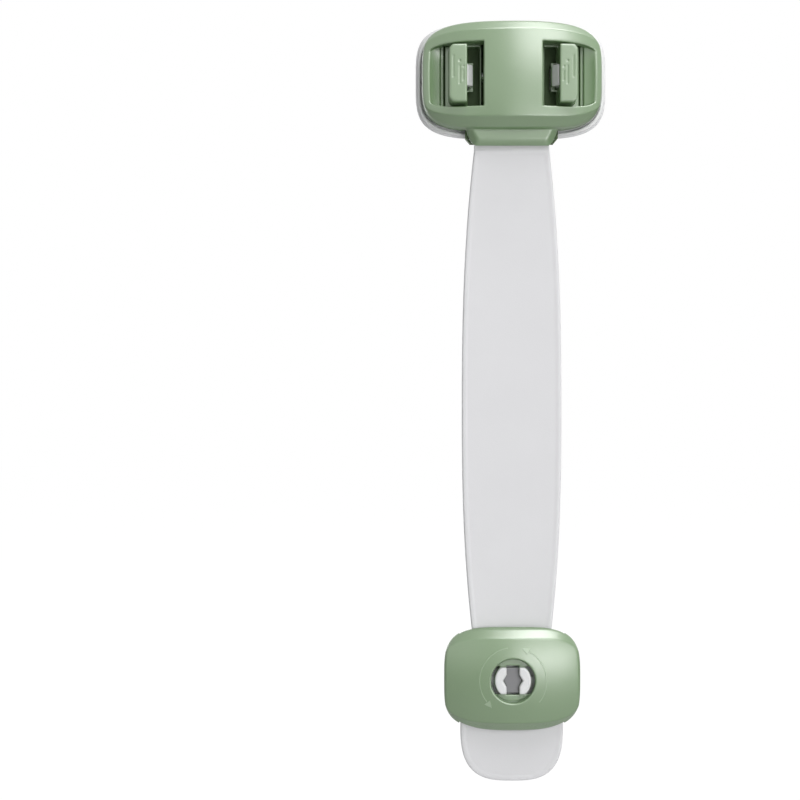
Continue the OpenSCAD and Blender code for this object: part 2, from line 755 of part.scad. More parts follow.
module rotor_lugs() color(base_white) upright() at_adjuster() difference() {
    intersection() {
        upright_rod(lug_r, boss_top_h, boss_top_h + lug_h);
        block([-lug_r, -lug_l / 2, boss_top_h], [lug_r, lug_l / 2, boss_top_h + lug_h]);
    }
    key_form(0, boss_top_h - over, boss_top_h + lug_h + over);
}

module rotor_washer() color(steel) upright() at_adjuster() difference() {
    upright_rod(washer_out_r, washer_h, washer_h + washer_t);
    upright_rod(washer_in_r, washer_h - over, washer_h + washer_t + over);
}

module clamp_plate() color(plate_grey) upright() at_adjuster() difference() {
    union() {
        block([-clamp_half_w, -clamp_half_l, clamp_h], [clamp_half_w, clamp_half_l, clamp_top_h]);
        for (i = [-grip_side_ribs : grip_side_ribs])
            block([-grip_half_w, i * grip_pitch - grip_rib_w / 2, grip_h],
                  [grip_half_w, i * grip_pitch + grip_rib_w / 2, clamp_top_h]);
        block([-ear_x - arm_lap, -arm_half_l, clamp_h], [ear_x + arm_lap, arm_half_l, clamp_top_h]);
        both_sides() block([ear_x, -arm_half_l, grip_h], [ear_end_x, arm_half_l, grip_h + ear_t]);
        cam_follower(0);
        cam_follower(180);
    }
    upright_rod(clamp_hole_r, grip_h - over, clamp_top_h + over);
}

module clamp_springs() color(steel) upright() at_adjuster()
    for (side = [-1, 1])
        translate([side * clamp_spring_x, 0, clamp_spring_h])
            skin(coil_rings(clamp_spring_r, clamp_wire_r, clamp_spring_l, clamp_spring_turns));

latch_base();
latch_adhesive_pad();
head_cover();
head_back_plate();
left_button();
right_button();
left_button_spring();
right_button_spring();
head_screws();
strap_anchor_pin();
strap();
adjuster_cover();
adjuster_base();
adjuster_adhesive_pad();
lock_rotor();
rotor_lugs();
rotor_key_plate();
rotor_washer();
clamp_plate();
clamp_springs();
adjuster_screws();
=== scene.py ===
"""Cabinet safety lock: a pinch-release head on its latch base, a soft strap and a block with a round lock."""

import math

import bpy
import numpy as np
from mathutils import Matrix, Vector


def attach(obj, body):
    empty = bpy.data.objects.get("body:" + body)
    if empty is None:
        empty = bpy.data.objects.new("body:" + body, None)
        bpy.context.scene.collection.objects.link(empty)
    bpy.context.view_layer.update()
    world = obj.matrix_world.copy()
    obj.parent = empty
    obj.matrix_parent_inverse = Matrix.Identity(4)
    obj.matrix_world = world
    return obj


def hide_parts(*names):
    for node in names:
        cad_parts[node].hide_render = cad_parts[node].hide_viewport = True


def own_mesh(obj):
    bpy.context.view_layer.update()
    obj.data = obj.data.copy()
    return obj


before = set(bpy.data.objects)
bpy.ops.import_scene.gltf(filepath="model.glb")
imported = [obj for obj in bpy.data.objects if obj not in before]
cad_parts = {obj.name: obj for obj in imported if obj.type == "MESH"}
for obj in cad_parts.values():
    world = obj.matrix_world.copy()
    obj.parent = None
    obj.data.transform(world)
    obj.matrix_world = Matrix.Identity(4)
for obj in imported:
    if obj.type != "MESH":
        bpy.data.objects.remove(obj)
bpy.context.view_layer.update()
scene = bpy.context.scene

# Sizes in millimetres, as in the part's source: x across, y up, and h the height over the
# mounting surface. Endings of names: _R a radius, _T a thickness, _D a depth, _A an angle.
CELLS = {  # cell of the grid in which each form is meshed
    "head_shell": 0.26, "latch_plate": 0.25, "right_pad": 0.22, "left_pad": 0.22, "strap_bead": 0.22,
    "block_shell": 0.24, "block_floor": 0.26, "rotor_disc": 0.2, "key_lugs": 0.15, "key_floor": 0.12,
    "latch_foam": 0.27, "block_foam": 0.27, "screw": 0.1}
METRES = 0.001  # a millimetre in metres
SLIDE_GAP, FIT_GAP, PIN_GAP, OVERSHOOT = 0.3, 0.15, 0.04, 1
OUTLINE_POWER, OPENING_POWER = 4, 6.5

# Head shell. side_drop is how far the crowned face falls to its sides; low_ is for the lower edge.
HEAD = {
    "half_w": 24.35, "half_l": 14.65, "low_half_l": 14.2, "power": 4.3, "low_power": 4,
    "front_h": 14, "side_drop": 6.3, "bevel_w": 2.7, "bevel_d": 2.3,
    "low_bevel_w": 2.7, "low_bevel_d": 2.5, "bevel_reach": 2.0, "crease_r": 0.12,
    "edge_r": 0.6, "low_h": 2.9, "low_edge_r": 0.3, "long_r": 110}
HEAD_WALL, CAVITY_HALF_W, BACK_PLATE_TOP_H = 1.6, 18.4, 4.6
COLLAR_T, COLLAR_OVER = 1, 0.5
OPENING_X, OPENING_END_X, OPENING_HALF_L, OPENING_EDGE_R = 7.9, 23.2, 8.65, 0.32
SCOOP_X, SCOOP_R, SCOOP_AXIS_X, SCOOP_AXIS_H, LEDGE_STEP_H = 19.4, 8.0, 18.0, 15.1, 6.4

# Pinch buttons
FOOT_H, FOOT_TOP_H, FOOT_HALF_L, FOOT_EDGE_R = 4.9, 7.0, 9.35, 0.2
FOOT_END_X, FOOT_END_HALF_L = 18.1, 8.4
WELL_HALF_L, WELL_IN, WELL_OUT, WELL_CORNER_R, WELL_EDGE_R = 8.3, 0.4, 0.2, 0.15, 0.1
WEB_X, WEB_T, WEB_TOP_H, WEB_HALF_L, WEB_EDGE_R = 8.3, 0.45, 7.5, 8.35, 0.15
LEDGE_IN_X, LEDGE_END_X, LEDGE_LOW_H, LEDGE_TOP_H = 10.5, 11.7, 6.4, 8.2
LEDGE_HALF_L, LEDGE_TOP_HALF_L, LEDGE_EDGE_R = 3.9, 2.6, 0.15
ARM_OPEN_HALF_L, ARM_OVER = 3.3, 0.5
PAD_X, PAD_END_X, PAD_HALF_L, PAD_H = 12.3, 17.2, 7.75, 13.6
PAD_CORNER_R, PAD_EDGE_R, PAD_INNER_R, PAD_FILLET_R = 1.6, 0.5, 0.3, 0.2
WINDOW_HALF_L, WINDOW_END_X, HOOD_H, RELIEF_X = 3.25, 16.0, 11.2, 10.4
PEG_R, PEG_L, PEG_ROOT, SPRING_H = 0.85, 0.8, 0.2, 6.55
MARKS = ((3.8, -1.0, 4.6, None), (2.1, -2.8, 1.8, 3.2), (1.1, -2.0, 0.4, 1.7))  # x on the pad, ends, dot
MARK_R, DOT_R, MARK_LIFT, MARK_EDGE_R = 0.24, 0.3, 0.1, 0.04

# Barrel under the head, and the strap's bead that turns in it
BARREL_Y, STRAP_H = -16.2, 5.5
BARREL_FRONT_R, BARREL_HALF_W, BARREL_END_HALF_W, BARREL_ROOT_Y = 2.9, 12.75, 10.2, -12.7
CORNER_FALL, CORNER_Y, CORNER_R = 4.9, -14.2, 1.2
BARREL_CHAMFER, CHAMFER_R, BARREL_SIDE_R, BARREL_FILLET_R = 1.7, 0.35, 0.4, 0.5
NOTCH_TOP_Y, NOTCH_LOW_Y = -11.9, -20
BEAD_R, BEAD_HALF_W, BEAD_BORE_R, BEAD_EDGE_R = 1.5, 10.2, 0.64, 0.2
ROOT_END_Y, ROOT_LOW_H, ROOT_TOP_H, ROOT_EDGE_R, ROOT_FILLET_R = -20.2, 4.9, 6.1, 0.15, 0.4
BEAD_HOLE_R, BEAD_HOLE_HALF_W, MOUTH_WIDE = 1.65, 10.5, 1.4
MOUTH_FRONT_A, MOUTH_BACK_A = math.radians(33.04), math.radians(52.04)

# Latch base and its catches
BASE = {
    "half_w": 26.05, "half_l": 15.9, "step_w": 0.5, "low_h": 0.8, "step_h": 1.8, "top_h": 2.6,
    "step_edge_r": 0.25, "top_edge_r": 0.2}
GROOVE_IN, GROOVE_OUT, GROOVE_D, GROOVE_EDGE_R = 0.8, 0.42, 1.2, 0.08
CATCH_X, CATCH_END_X, CATCH_HALF_L, CATCH_TOP_H, CATCH_LEAN = 11.9, 13.3, 2.85, 10.6, 1.4
LIP_X, LIP_H, LIP_TIP_T = 10.7, 8.4, 0.6
CATCH_EDGE_R, CATCH_SIDE_R, CATCH_ROOT_H, CATCH_FILLET_R = 0.15, 0.2, 1.2, 0.2

# Block
BLOCK_Y = -162.9
BLOCK = {
    "half_w": 18.45, "half_l": 14.05, "low_half_l": 14.4, "power": 4, "low_power": 4,
    "front_h": 12.3, "side_drop": 3.7, "bevel_w": 2.65, "bevel_d": 2.1,
    "low_bevel_w": 3.0, "low_bevel_d": 3.4, "bevel_reach": 1.1, "crease_r": 0.12,
    "edge_r": 0.8, "low_h": 4.4, "low_edge_r": 0.5, "long_r": 50}
BLOCK_WALL, BLOCK_SKIN = 1.3, 0.4
CHANNEL_HALF_W, CHANNEL_TOP_H, CHANNEL_EDGE_R = 14.25, 6.7, 0.2
SKIRT_LEAN, SKIRT_UP, SKIRT_EDGE_R = 0.26, 0.6, 0.3
SKIRT_SCALE = 0.968  # brings the value beside a side that leans back to a distance
SPRING_SLOT_X, SPRING_SLOT_HALF_L, SPRING_SLOT_D = 16.7, 1.9, 0.5
POST_X, POST_Y, POST_R, PILOT_R, PILOT_TOP_H = 15.45, 6, 1.2, 0.74, 8.2
FLOOR_HALF_W, FLOOR_HALF_L, FLOOR_TOP_H, FLOOR_EDGE_R = 17.3, 12.65, 4.4, 0.3
POCKET_X, POCKET_R, POCKET_H = 15.4, 1.15, 3.4
COUNTERBORE_R, COUNTERBORE_H, BORE_EDGE_R = 1.44, 1.78, 0.08

# Round lock
HOLE_R, HOLE_EDGE_R, SEAT_R, CEILING_H = 5.95, 0.4, 7.5, 10.18
BOSS_R, FLANGE_R, DISC_EDGE_R = 5.8, 7.2, 0.1
FLANGE_H, FLANGE_TOP_H, FACE_TOP_H, BOSS_TOP_H = 9.1, 9.8, 9.95, 10.3
STEM_R, STEM_H = 2.4, 7.0
RAMP_IN_R, RAMP_OUT_R, RAMP_RISE = 3.4, 6.4, 0.6
RAMP_BACK, RAMP_END, FULL_TURN = 88, 9, 90  # degrees
MOAT_IN, MOAT_GAP, MOAT_OUT_R, MOAT_EDGE_R = 0.08, 0.15, 6.05, 0.05
SLOT_HALF_W, SLOT_HALF_L, SLOT_END_L, HEX_R = 1.7, 3.9, 0.5, 2.65
RECESS_H, RECESS_EDGE_R, KEY_T, KEY_EDGE_R = 9.6, 0.12, 0.25, 0.06
LUG_R, LUG_HALF_L, LUG_H, LUG_SINK = 4.9, 3.6, 1.1, 0.02
LUG_CORNER_R, LUG_INNER_R, LUG_EDGE_R = 0.4, 0.3, 0.45

FOAM_T, FOAM_WAIST, FOAM_EDGE_R = 0.8, 0.12, 0.08


# ---- Forms given by their signed distance, and the meshes round them ----

def round_and(a, b, r):
    """What is inside both forms, with the edge between them rounded."""
    return np.minimum(np.maximum(a, b), -r) + np.hypot(np.maximum(a + r, 0), np.maximum(b + r, 0))


def round_or(a, b, r):
    """What is inside either form, with the inner corner between them filled."""
    return -round_and(-a, -b, r)


def round_cut(a, b, r):
    """What is inside the first form and outside the second, with the edge rounded."""
    return round_and(a, -b, r)


def oval(x, y, half_w, half_l, power):
    """Distance from a squared oval, close to the true one near its outline."""
    u, v = np.abs(x / half_w) + 1e-9, np.abs(y / half_l) + 1e-9  # kept off nought
    size = (u**power + v**power) ** (1 / power)
    slope = size ** (1 - power) * np.hypot(u ** (power - 1) / half_w, v ** (power - 1) / half_l)
    return (size - 1) / np.maximum(slope, 1e-3)


def slab(v, low, high):
    """What lies between two planes."""
    return np.maximum(low - v, v - high)


def box(x, y, h, low, high, r=0.0):
    """A box between two corners, with rounded edges."""
    sides = [slab(v, a, b) for v, a, b in zip((x, y, h), low, high)]
    return round_and(round_and(sides[0], sides[1], r), sides[2], r)


def crowned(x, y, h, form, inset=0.0):
    """A moulded shell's outer form: crowned across, with bevels that follow its upper and lower edges.

    The inner form, which is inset by the wall, has half the crown lengthwise.
    """
    half_w, drop = form["half_w"], form["side_drop"]
    half_l, power, bevel_w, bevel_d = (np.where(y > 0, form[key], form["low_" + key])
                                       for key in ("half_l", "power", "bevel_w", "bevel_d"))
    radius = (half_w**2 + drop**2) / (2 * drop)
    face = np.hypot(x, h - form["front_h"] + radius) - radius + inset
    face = face + y**2 / (2 * form["long_r"]) * (0.5 if inset else 1.0)
    slope = bevel_d / bevel_w
    reach = np.clip(np.abs(x) / (half_w + form["bevel_reach"]), 0, 0.995)  # just short of the oval's end
    edge_y = half_l * (1 - reach**power) ** (1 / power)
    bevel = (face + slope * (np.abs(y) - edge_y + bevel_w)) / np.hypot(1, slope)
    front = round_and(face, bevel, form["crease_r"])
    return round_and(front, oval(x, y, half_w - inset, half_l - inset, power), form["edge_r"])


PULLS = 4  # times that the points of a mesh are drawn onto their form's surface


def net(form, low, high, step):
    """Points and quads of a form's surface: one point in each cell of a grid that the surface crosses."""
    axes = [np.arange(a, b + step, step) for a, b in zip(low, high)]
    grid = np.meshgrid(*axes, indexing="ij", sparse=True)
    value = np.array(np.broadcast_to(form(*grid), [len(a) for a in axes]))
    cells = np.array(value.shape) - 1

    # The crossed edges of the grid, summed for the cells that each of them belongs to
    total, count, crossings = np.zeros((*cells, 3)), np.zeros(cells, int), []
    for axis in range(3):
        others = [k for k in range(3) if k != axis]
        a, b = (value[tuple(slice(s, s + cells[k]) if k == axis else slice(None) for k in range(3))]
                for s in (0, 1))
        crossed = (a < 0) != (b < 0)
        share = np.where(crossed, a / np.where(crossed, a - b, 1), 0)
        crossings.append((axis, others, crossed, a < 0))
        for i in (0, 1):
            for j in (0, 1):
                start = {others[0]: i, others[1]: j}
                pick = tuple(slice(start.get(k, 0), start.get(k, 0) + cells[k]) for k in range(3))
                hit = crossed[pick]
                count += hit
                total[..., axis] += share[pick]
                total[..., others[0]] += hit * i
                total[..., others[1]] += hit * j
    used = np.argwhere(count > 0)
    number = np.full(cells, -1)
    number[tuple(used.T)] = np.arange(len(used))
    points = (used + total[count > 0] / count[count > 0][:, None]) * step + np.array(low)

    # A quad round each crossed edge, wound so that it faces outward
    quads = []
    for axis, others, crossed, lower_inside in crossings:
        spots = np.argwhere(crossed)
        keep = np.all((spots[:, others] > 0) & (spots[:, others] < cells[others]), axis=1)
        spots = spots[keep]
        corners = []
        for i, j in ((1, 1), (0, 1), (0, 0), (1, 0)):
            at = spots.copy()
            at[:, others[0]] -= i
            at[:, others[1]] -= j
            corners.append(number[tuple(at.T)])
        faces = np.stack(corners, axis=1)
        outward = lower_inside[tuple(spots.T)] != (axis == 1)
        quads.append(np.where(outward[:, None], faces, faces[:, ::-1]))

    for _ in range(PULLS):
        points -= pull(form, points, step)
    return points, np.concatenate(quads)


def pull(form, points, step):
    """The move that brings each point onto the surface, no longer than a third of a cell."""
    reach = step / 8
    rises = [form(*(points + reach * axis).T) - form(*(points - reach * axis).T) for axis in np.eye(3)]
    slope = np.stack(rises, axis=1) / (2 * reach)
    move = slope * (form(*points.T) / np.maximum((slope**2).sum(1), 0.05))[:, None]
    length = np.linalg.norm(move, axis=1, keepdims=True)
    return move * np.minimum(1, step / 3 / np.maximum(length, 1e-9))


def piece(name, points, faces, material, body, replaced=(), slot=None, smooth=True):
    """A mesh from points in the flat millimetre frame, stood upright, dressed and carried by its body."""
    points = np.asarray(points, float)
    upright = np.stack([points[:, 0], -points[:, 2], points[:, 1]], axis=1) * METRES
    mesh = bpy.data.meshes.new(name)
    mesh.from_pydata(upright.tolist(), [], [list(map(int, f)) for f in faces])
    mesh.validate()
    mesh.update()
    if smooth:
        mesh.shade_smooth()
    else:
        mesh.shade_flat()
    made = bpy.data.objects.new(name, mesh)
    scene.collection.objects.link(made)
    mesh.materials.append(material)
    if replaced:
        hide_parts(*replaced)
    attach(made, body)
    return made


def moulded(name, form, low, high, material, body, replaced, slot):
    """A piece whose surface is that of a form, looked for in a box and a little beyond it."""
    step = CELLS[name]
    room = 3 * step
    points, faces = net(form, [v - room for v in low], [v + room for v in high], step)
    return piece(name, points, faces, material, body, replaced, slot)


class Growth:
    """A Geometry Nodes tree with named inputs, whose result is kept as a plain mesh."""

    SOCKETS = {int: "NodeSocketInt", float: "NodeSocketFloat", tuple: "NodeSocketVector",
               bpy.types.Material: "NodeSocketMaterial"}

    def __init__(self, name, values, base=None):
        self.tree = bpy.data.node_groups.new(name, "GeometryNodeTree")
        self.base, self.values = base, {}
        face = self.tree.interface
        if base:
            face.new_socket("Geometry", in_out="INPUT", socket_type="NodeSocketGeometry")
        for key, value in values.items():
            socket = face.new_socket(key, in_out="INPUT", socket_type=self.SOCKETS[type(value)])
            self.values[socket.identifier] = value
        face.new_socket("Geometry", in_out="OUTPUT", socket_type="NodeSocketGeometry")
        self.entry = self.tree.nodes.new("NodeGroupInput")

    def given(self, name):
        """The socket of one of the tree's own inputs."""
        return self.entry.outputs[name]

    def node(self, kind, settings, sockets, output=0):
        """A node with its settings and inputs; what comes back is one of its outputs."""
        made = self.tree.nodes.new(kind)
        for key, value in settings.items():
            setattr(made, key, value)
        for key, value in sockets.items():
            if isinstance(value, bpy.types.NodeSocket):
                self.tree.links.new(value, made.inputs[key])
            else:
                made.inputs[key].default_value = value
        return made.outputs[output]

    def keep(self, name, geometry, body, replaced, slot):
        """Stand the result upright, run the tree and keep what it makes as a piece."""
        upright = self.node("GeometryNodeTransform", {}, {
            "Geometry": geometry, "Rotation": (math.pi / 2, 0, 0), "Scale": (METRES, METRES, METRES)})
        real = self.node("GeometryNodeRealizeInstances", {}, {"Geometry": upright})
        painted = self.node("GeometryNodeSetMaterial", {}, {
            "Geometry": real, "Material": self.given("Finish")})
        end = self.tree.nodes.new("NodeGroupOutput")
        self.tree.links.new(painted, end.inputs["Geometry"])
        seed = bpy.data.objects.new(name + "_seed", self.base or bpy.data.meshes.new(name + "_seed"))
        scene.collection.objects.link(seed)
        modifier = seed.modifiers.new("growth", "NODES")
        modifier.node_group = self.tree
        for key, value in self.values.items():
            modifier[key] = value
        mesh = bpy.data.meshes.new_from_object(seed.evaluated_get(bpy.context.evaluated_depsgraph_get()))
        seed.modifiers.clear()
        bpy.data.objects.remove(seed)
        mesh.name = name
        made = bpy.data.objects.new(name, mesh)
        scene.collection.objects.link(made)
        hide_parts(*replaced)
        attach(made, body)
        return made


# ---- Materials ----

class Signal:
    """A shader socket. Sums and products on it add Math nodes."""

    def __init__(self, paint, socket):
        self.paint, self.socket = paint, socket

    def math(self, operation, *values):
        return self.paint.node("ShaderNodeMath", {"operation": operation}, dict(enumerate(values)))

    def __add__(self, other):
        return self.math("ADD", self, other)

    __radd__ = __add__

    def __mul__(self, other):
        return self.math("MULTIPLY", self, other)

    __rmul__ = __mul__


class Paint:
    """A material under construction: each method adds nodes to it."""

    def __init__(self, name):
        self.material = bpy.data.materials.new(name)
        self.material.use_nodes = True
        self.nodes, self.links = self.material.node_tree.nodes, self.material.node_tree.links
        self.nodes.clear()

    def node(self, kind, settings, sockets, output=0):
        """A node with its settings and inputs; what comes back is one of its outputs."""
        made = self.nodes.new(kind)
        for key, value in settings.items():
            setattr(made, key, value)
        for key, value in sockets.items():
            if isinstance(value, Signal):
                self.links.new(value.socket, made.inputs[key])
            else:
                made.inputs[key].default_value = value
        return Signal(self, made.outputs[output])

    def place(self):
        """Place on the object, in metres."""
        return self.node("ShaderNodeTexCoord", {}, {}, "Object")

    def noise(self, scale, detail):
        return self.node("ShaderNodeTexNoise", {}, {
            "Vector": self.place(), "Scale": scale, "Detail": detail})

    def mix(self, share, a, b):
        """Two colours mixed by a share from 0 to 1."""
        made = self.nodes.new("ShaderNodeMix")
        made.data_type = "RGBA"
        for socket, value in (("Factor_Float", share), ("A_Color", a), ("B_Color", b)):
            target = next(s for s in made.inputs if s.identifier == socket)
            if isinstance(value, Signal):
                self.links.new(value.socket, target)
            else:
                target.default_value = value
        return Signal(self, next(s for s in made.outputs if s.identifier == "Result_Color"))

    def bump(self, height, distance):
        return self.node("ShaderNodeBump", {}, {"Height": height, "Distance": distance, "Strength": 1.0})

    def surface(self, **sockets):
        """The finished material, whose surface has these inputs."""
        named = {key.replace("_", " "): value for key, value in sockets.items()}
        shader = self.node("ShaderNodeBsdfPrincipled", {}, named)
        self.node_output(shader)
        return self.material

    def node_output(self, shader):
        end = self.nodes.new("ShaderNodeOutputMaterial")
        self.links.new(shader.socket, end.inputs["Surface"])


def colour(red, green, blue):
    """A colour written as it shows, 0 to 255, as Blender keeps it."""
    return (*[(v / 255 / 12.92 if v / 255 <= 0.04045 else ((v / 255 + 0.055) / 1.055) ** 2.4)
              for v in (red, green, blue)], 1)


def moulded_plastic(name, tone, shade, roughness, index=1.75, shine=1.0, grain=0.000012):
    """Satin moulded plastic: faint flow marks in its colour and gloss, under a fine spark-eroded grain."""
    paint = Paint(name)
    flow = paint.noise(90, 3)
    speck = paint.noise(2600, 1)
    return paint.surface(
        Base_Color=paint.mix(flow * 0.7 + speck * 0.3, colour(*shade), colour(*tone)),
        Roughness=flow * 0.08 + (roughness - 0.04), IOR=index, Specular_IOR_Level=shine,
        Normal=paint.bump(paint.noise(3800, 2) + flow * 0.6, grain))


green_plastic = moulded_plastic("sage_plastic", (107, 136, 94), (102, 131, 89), 0.32)
# Painted shade: a darker, duller green that stands in for the shadow deep in the head's finger openings,
# where the back plate shows
painted_shade_plastic = moulded_plastic("sage_painted_shade", (72, 92, 60), (66, 85, 54), 0.6, 1.45, 0.4)
# A lighter green than the shell for the raised turn arrows, so that the thin arcs read light against the face
mark_plastic = moulded_plastic("sage_marks", (140, 164, 130), (134, 158, 124), 0.4)
white_plastic = moulded_plastic("white_plastic", (214, 215, 215), (209, 210, 211), 0.45)
grey_plastic = moulded_plastic("grey_plastic", (206, 209, 207), (200, 203, 202), 0.5)
key_plastic = moulded_plastic("key_plastic", (88, 88, 91), (80, 80, 83), 0.55)


def strap_rubber():
    """Soft matt strap: a milky skin with a fine powdery grain."""
    paint = Paint("strap_rubber")
    cloud, dust = paint.noise(55, 3), paint.noise(3000, 2)
    return paint.surface(
        Base_Color=paint.mix(cloud, colour(217, 217, 219), colour(222, 222, 224)),
        Roughness=dust * 0.1 + 0.5,
        Specular_IOR_Level=0.25, Normal=paint.bump(dust + cloud * 0.5, 0.00002))


def spring_steel():
    """Bright wire with fine streaks."""
    paint = Paint("spring_steel")
    streak = paint.noise(1400, 4)
    return paint.surface(Base_Color=paint.mix(streak, colour(178, 180, 184), colour(205, 207, 210)),
                         Metallic=1.0, Roughness=streak * 0.15 + 0.22)


def tape_foam():
    """Closed-cell foam tape: pores in its edge and a slightly uneven tone."""
    paint = Paint("tape_foam")
    pores = paint.node("ShaderNodeTexVoronoi", {}, {"Vector": paint.place(), "Scale": 2400.0})
    cloud = paint.noise(300, 2)
    return paint.surface(Base_Color=paint.mix(cloud, colour(228, 228, 224), colour(240, 240, 237)),
                         Roughness=cloud * 0.1 + 0.8, Normal=paint.bump(pores, 0.00006))


strap_skin, steel, foam = strap_rubber(), spring_steel(), tape_foam()

# ---- Head ----

def head_cover(x, y, h):
    """Shell with two finger openings, scooped ends, collars round the buttons and the barrel's front half."""
    across = np.abs(x)
    inner_outline = oval(x, y, HEAD["half_w"] - HEAD_WALL, HEAD["low_half_l"] - HEAD_WALL, OUTLINE_POWER)
    shell = round_and(crowned(x, y, h, HEAD), HEAD["low_h"] - h, HEAD["low_edge_r"])
    cavity = np.maximum(across - CAVITY_HALF_W, BACK_PLATE_TOP_H - h)
    hollow = np.maximum(crowned(x, y, h, HEAD, HEAD_WALL), cavity)
    seat = np.maximum(inner_outline, h - BACK_PLATE_TOP_H - PIN_GAP)
    notch = box(x, y, h, (-BARREL_HALF_W - FIT_GAP, NOTCH_LOW_Y, 0),
                (BARREL_HALF_W + FIT_GAP, NOTCH_TOP_Y, STRAP_H))
    shell = np.maximum(shell, -np.minimum(np.minimum(hollow, seat), notch))

    collar = np.maximum(slab(across, OPENING_X - COLLAR_T, CAVITY_HALF_W + COLLAR_OVER),
                        np.abs(y) - OPENING_HALF_L - COLLAR_T)
    collar = np.maximum(np.maximum(collar, FOOT_TOP_H + SLIDE_GAP - h), crowned(x, y, h, HEAD, HEAD_WALL / 2))
    passage = np.maximum(np.maximum(across - OPENING_X, np.abs(y) - OPENING_HALF_L),
                         h - LEDGE_TOP_H - SLIDE_GAP)
    shell = np.minimum(shell, np.maximum(collar, -passage))

    region = np.minimum(cavity, np.maximum(across - SCOOP_X, LEDGE_STEP_H - h))
    region = np.minimum(region, np.hypot(across - SCOOP_AXIS_X, h - SCOOP_AXIS_H) - SCOOP_R)
    outline = oval(x, y, OPENING_END_X, OPENING_HALF_L, OPENING_POWER)
    opening = np.maximum(np.maximum(outline, OPENING_X - across), region)
    shell = round_cut(shell, opening, OPENING_EDGE_R)
    shell = round_or(shell, barrel_front(x, y, h), BARREL_FILLET_R)
    return np.maximum(shell, -barrel_room(x, y, h))


def barrel_front(x, y, h):
    """Front half of the barrel that carries the strap, with chamfered ends and cut corners."""
    across = np.abs(x)
    tube = np.hypot(y - BARREL_Y, h - STRAP_H) - BARREL_FRONT_R
    tube = np.minimum(tube, np.maximum(slab(y, BARREL_Y, BARREL_ROOT_Y), h - STRAP_H - BARREL_FRONT_R))
    run = BARREL_HALF_W - BARREL_END_HALF_W
    corner = ((across - BARREL_HALF_W) * CORNER_FALL - (y - CORNER_Y) * run) / math.hypot(run, CORNER_FALL)
    side = round_and(across - BARREL_HALF_W, corner, CORNER_R)
    chamfer = (side + h - STRAP_H - BARREL_FRONT_R + BARREL_CHAMFER) / math.sqrt(2)
    return np.maximum(round_and(round_and(tube, side, BARREL_SIDE_R), chamfer, CHAMFER_R), STRAP_H - h)


def barrel_room(x, y, h):
    """Room for the bead, and for the strap where it swings."""
    across, up, out = np.abs(x), h - STRAP_H, y - BARREL_Y
    bead = np.maximum(np.hypot(out, up) - BEAD_HOLE_R, across - BEAD_HOLE_HALF_W)
    front = up * math.cos(MOUTH_FRONT_A) + out * math.sin(MOUTH_FRONT_A)
    back = -up * math.cos(MOUTH_BACK_A) + out * math.sin(MOUTH_BACK_A)
    mouth = np.maximum(np.maximum(front, back), np.minimum(across - BEAD_HOLE_HALF_W, out + MOUTH_WIDE))
    return np.minimum(bead, mouth)


moulded("head_shell", head_cover, (-24.4, -19.2, 2.9), (24.4, 14.7, 14.1), green_plastic, "head",
        ["head_cover"], "green_plastic")


def latch_base(x, y, h):
    """Plate with a stepped rim and a groove round the head, and the two hooked catches."""
    across = np.abs(x)
    lower = oval(x, y, BASE["half_w"], BASE["half_l"], OUTLINE_POWER)
    plate = round_and(lower, slab(h, BASE["low_h"], BASE["step_h"]), BASE["step_edge_r"])
    upper = round_and(lower + BASE["step_w"], slab(h, BASE["low_h"], BASE["top_h"]), BASE["top_edge_r"])
    plate = np.minimum(plate, upper)
    beside = oval(x, y, HEAD["half_w"], HEAD["low_half_l"], OUTLINE_POWER)
    groove = np.maximum(slab(beside, -GROOVE_IN, GROOVE_OUT), BASE["top_h"] - GROOVE_D - h)
    plate = round_cut(plate, groove, GROOVE_EDGE_R)

    post = slab(across, CATCH_X, CATCH_END_X)
    lip = np.maximum(slab(across, LIP_X, CATCH_END_X), LIP_H - h)
    rise = CATCH_TOP_H - LIP_H - LIP_TIP_T
    lean = ((h - LIP_H - LIP_TIP_T) * CATCH_LEAN - (across - LIP_X) * rise) / math.hypot(CATCH_LEAN, rise)
    hook = round_and(round_and(np.minimum(post, lip), lean, CATCH_EDGE_R), h - CATCH_TOP_H, CATCH_EDGE_R)
    hook = round_and(hook, np.abs(y) - CATCH_HALF_L, CATCH_SIDE_R)
    return round_or(plate, np.maximum(hook, CATCH_ROOT_H - h), CATCH_FILLET_R)


moulded("latch_plate", latch_base, (-26.1, -16, 0.8), (26.1, 16, 10.6), white_plastic, "latch",
        ["latch_base"], "white_plastic")


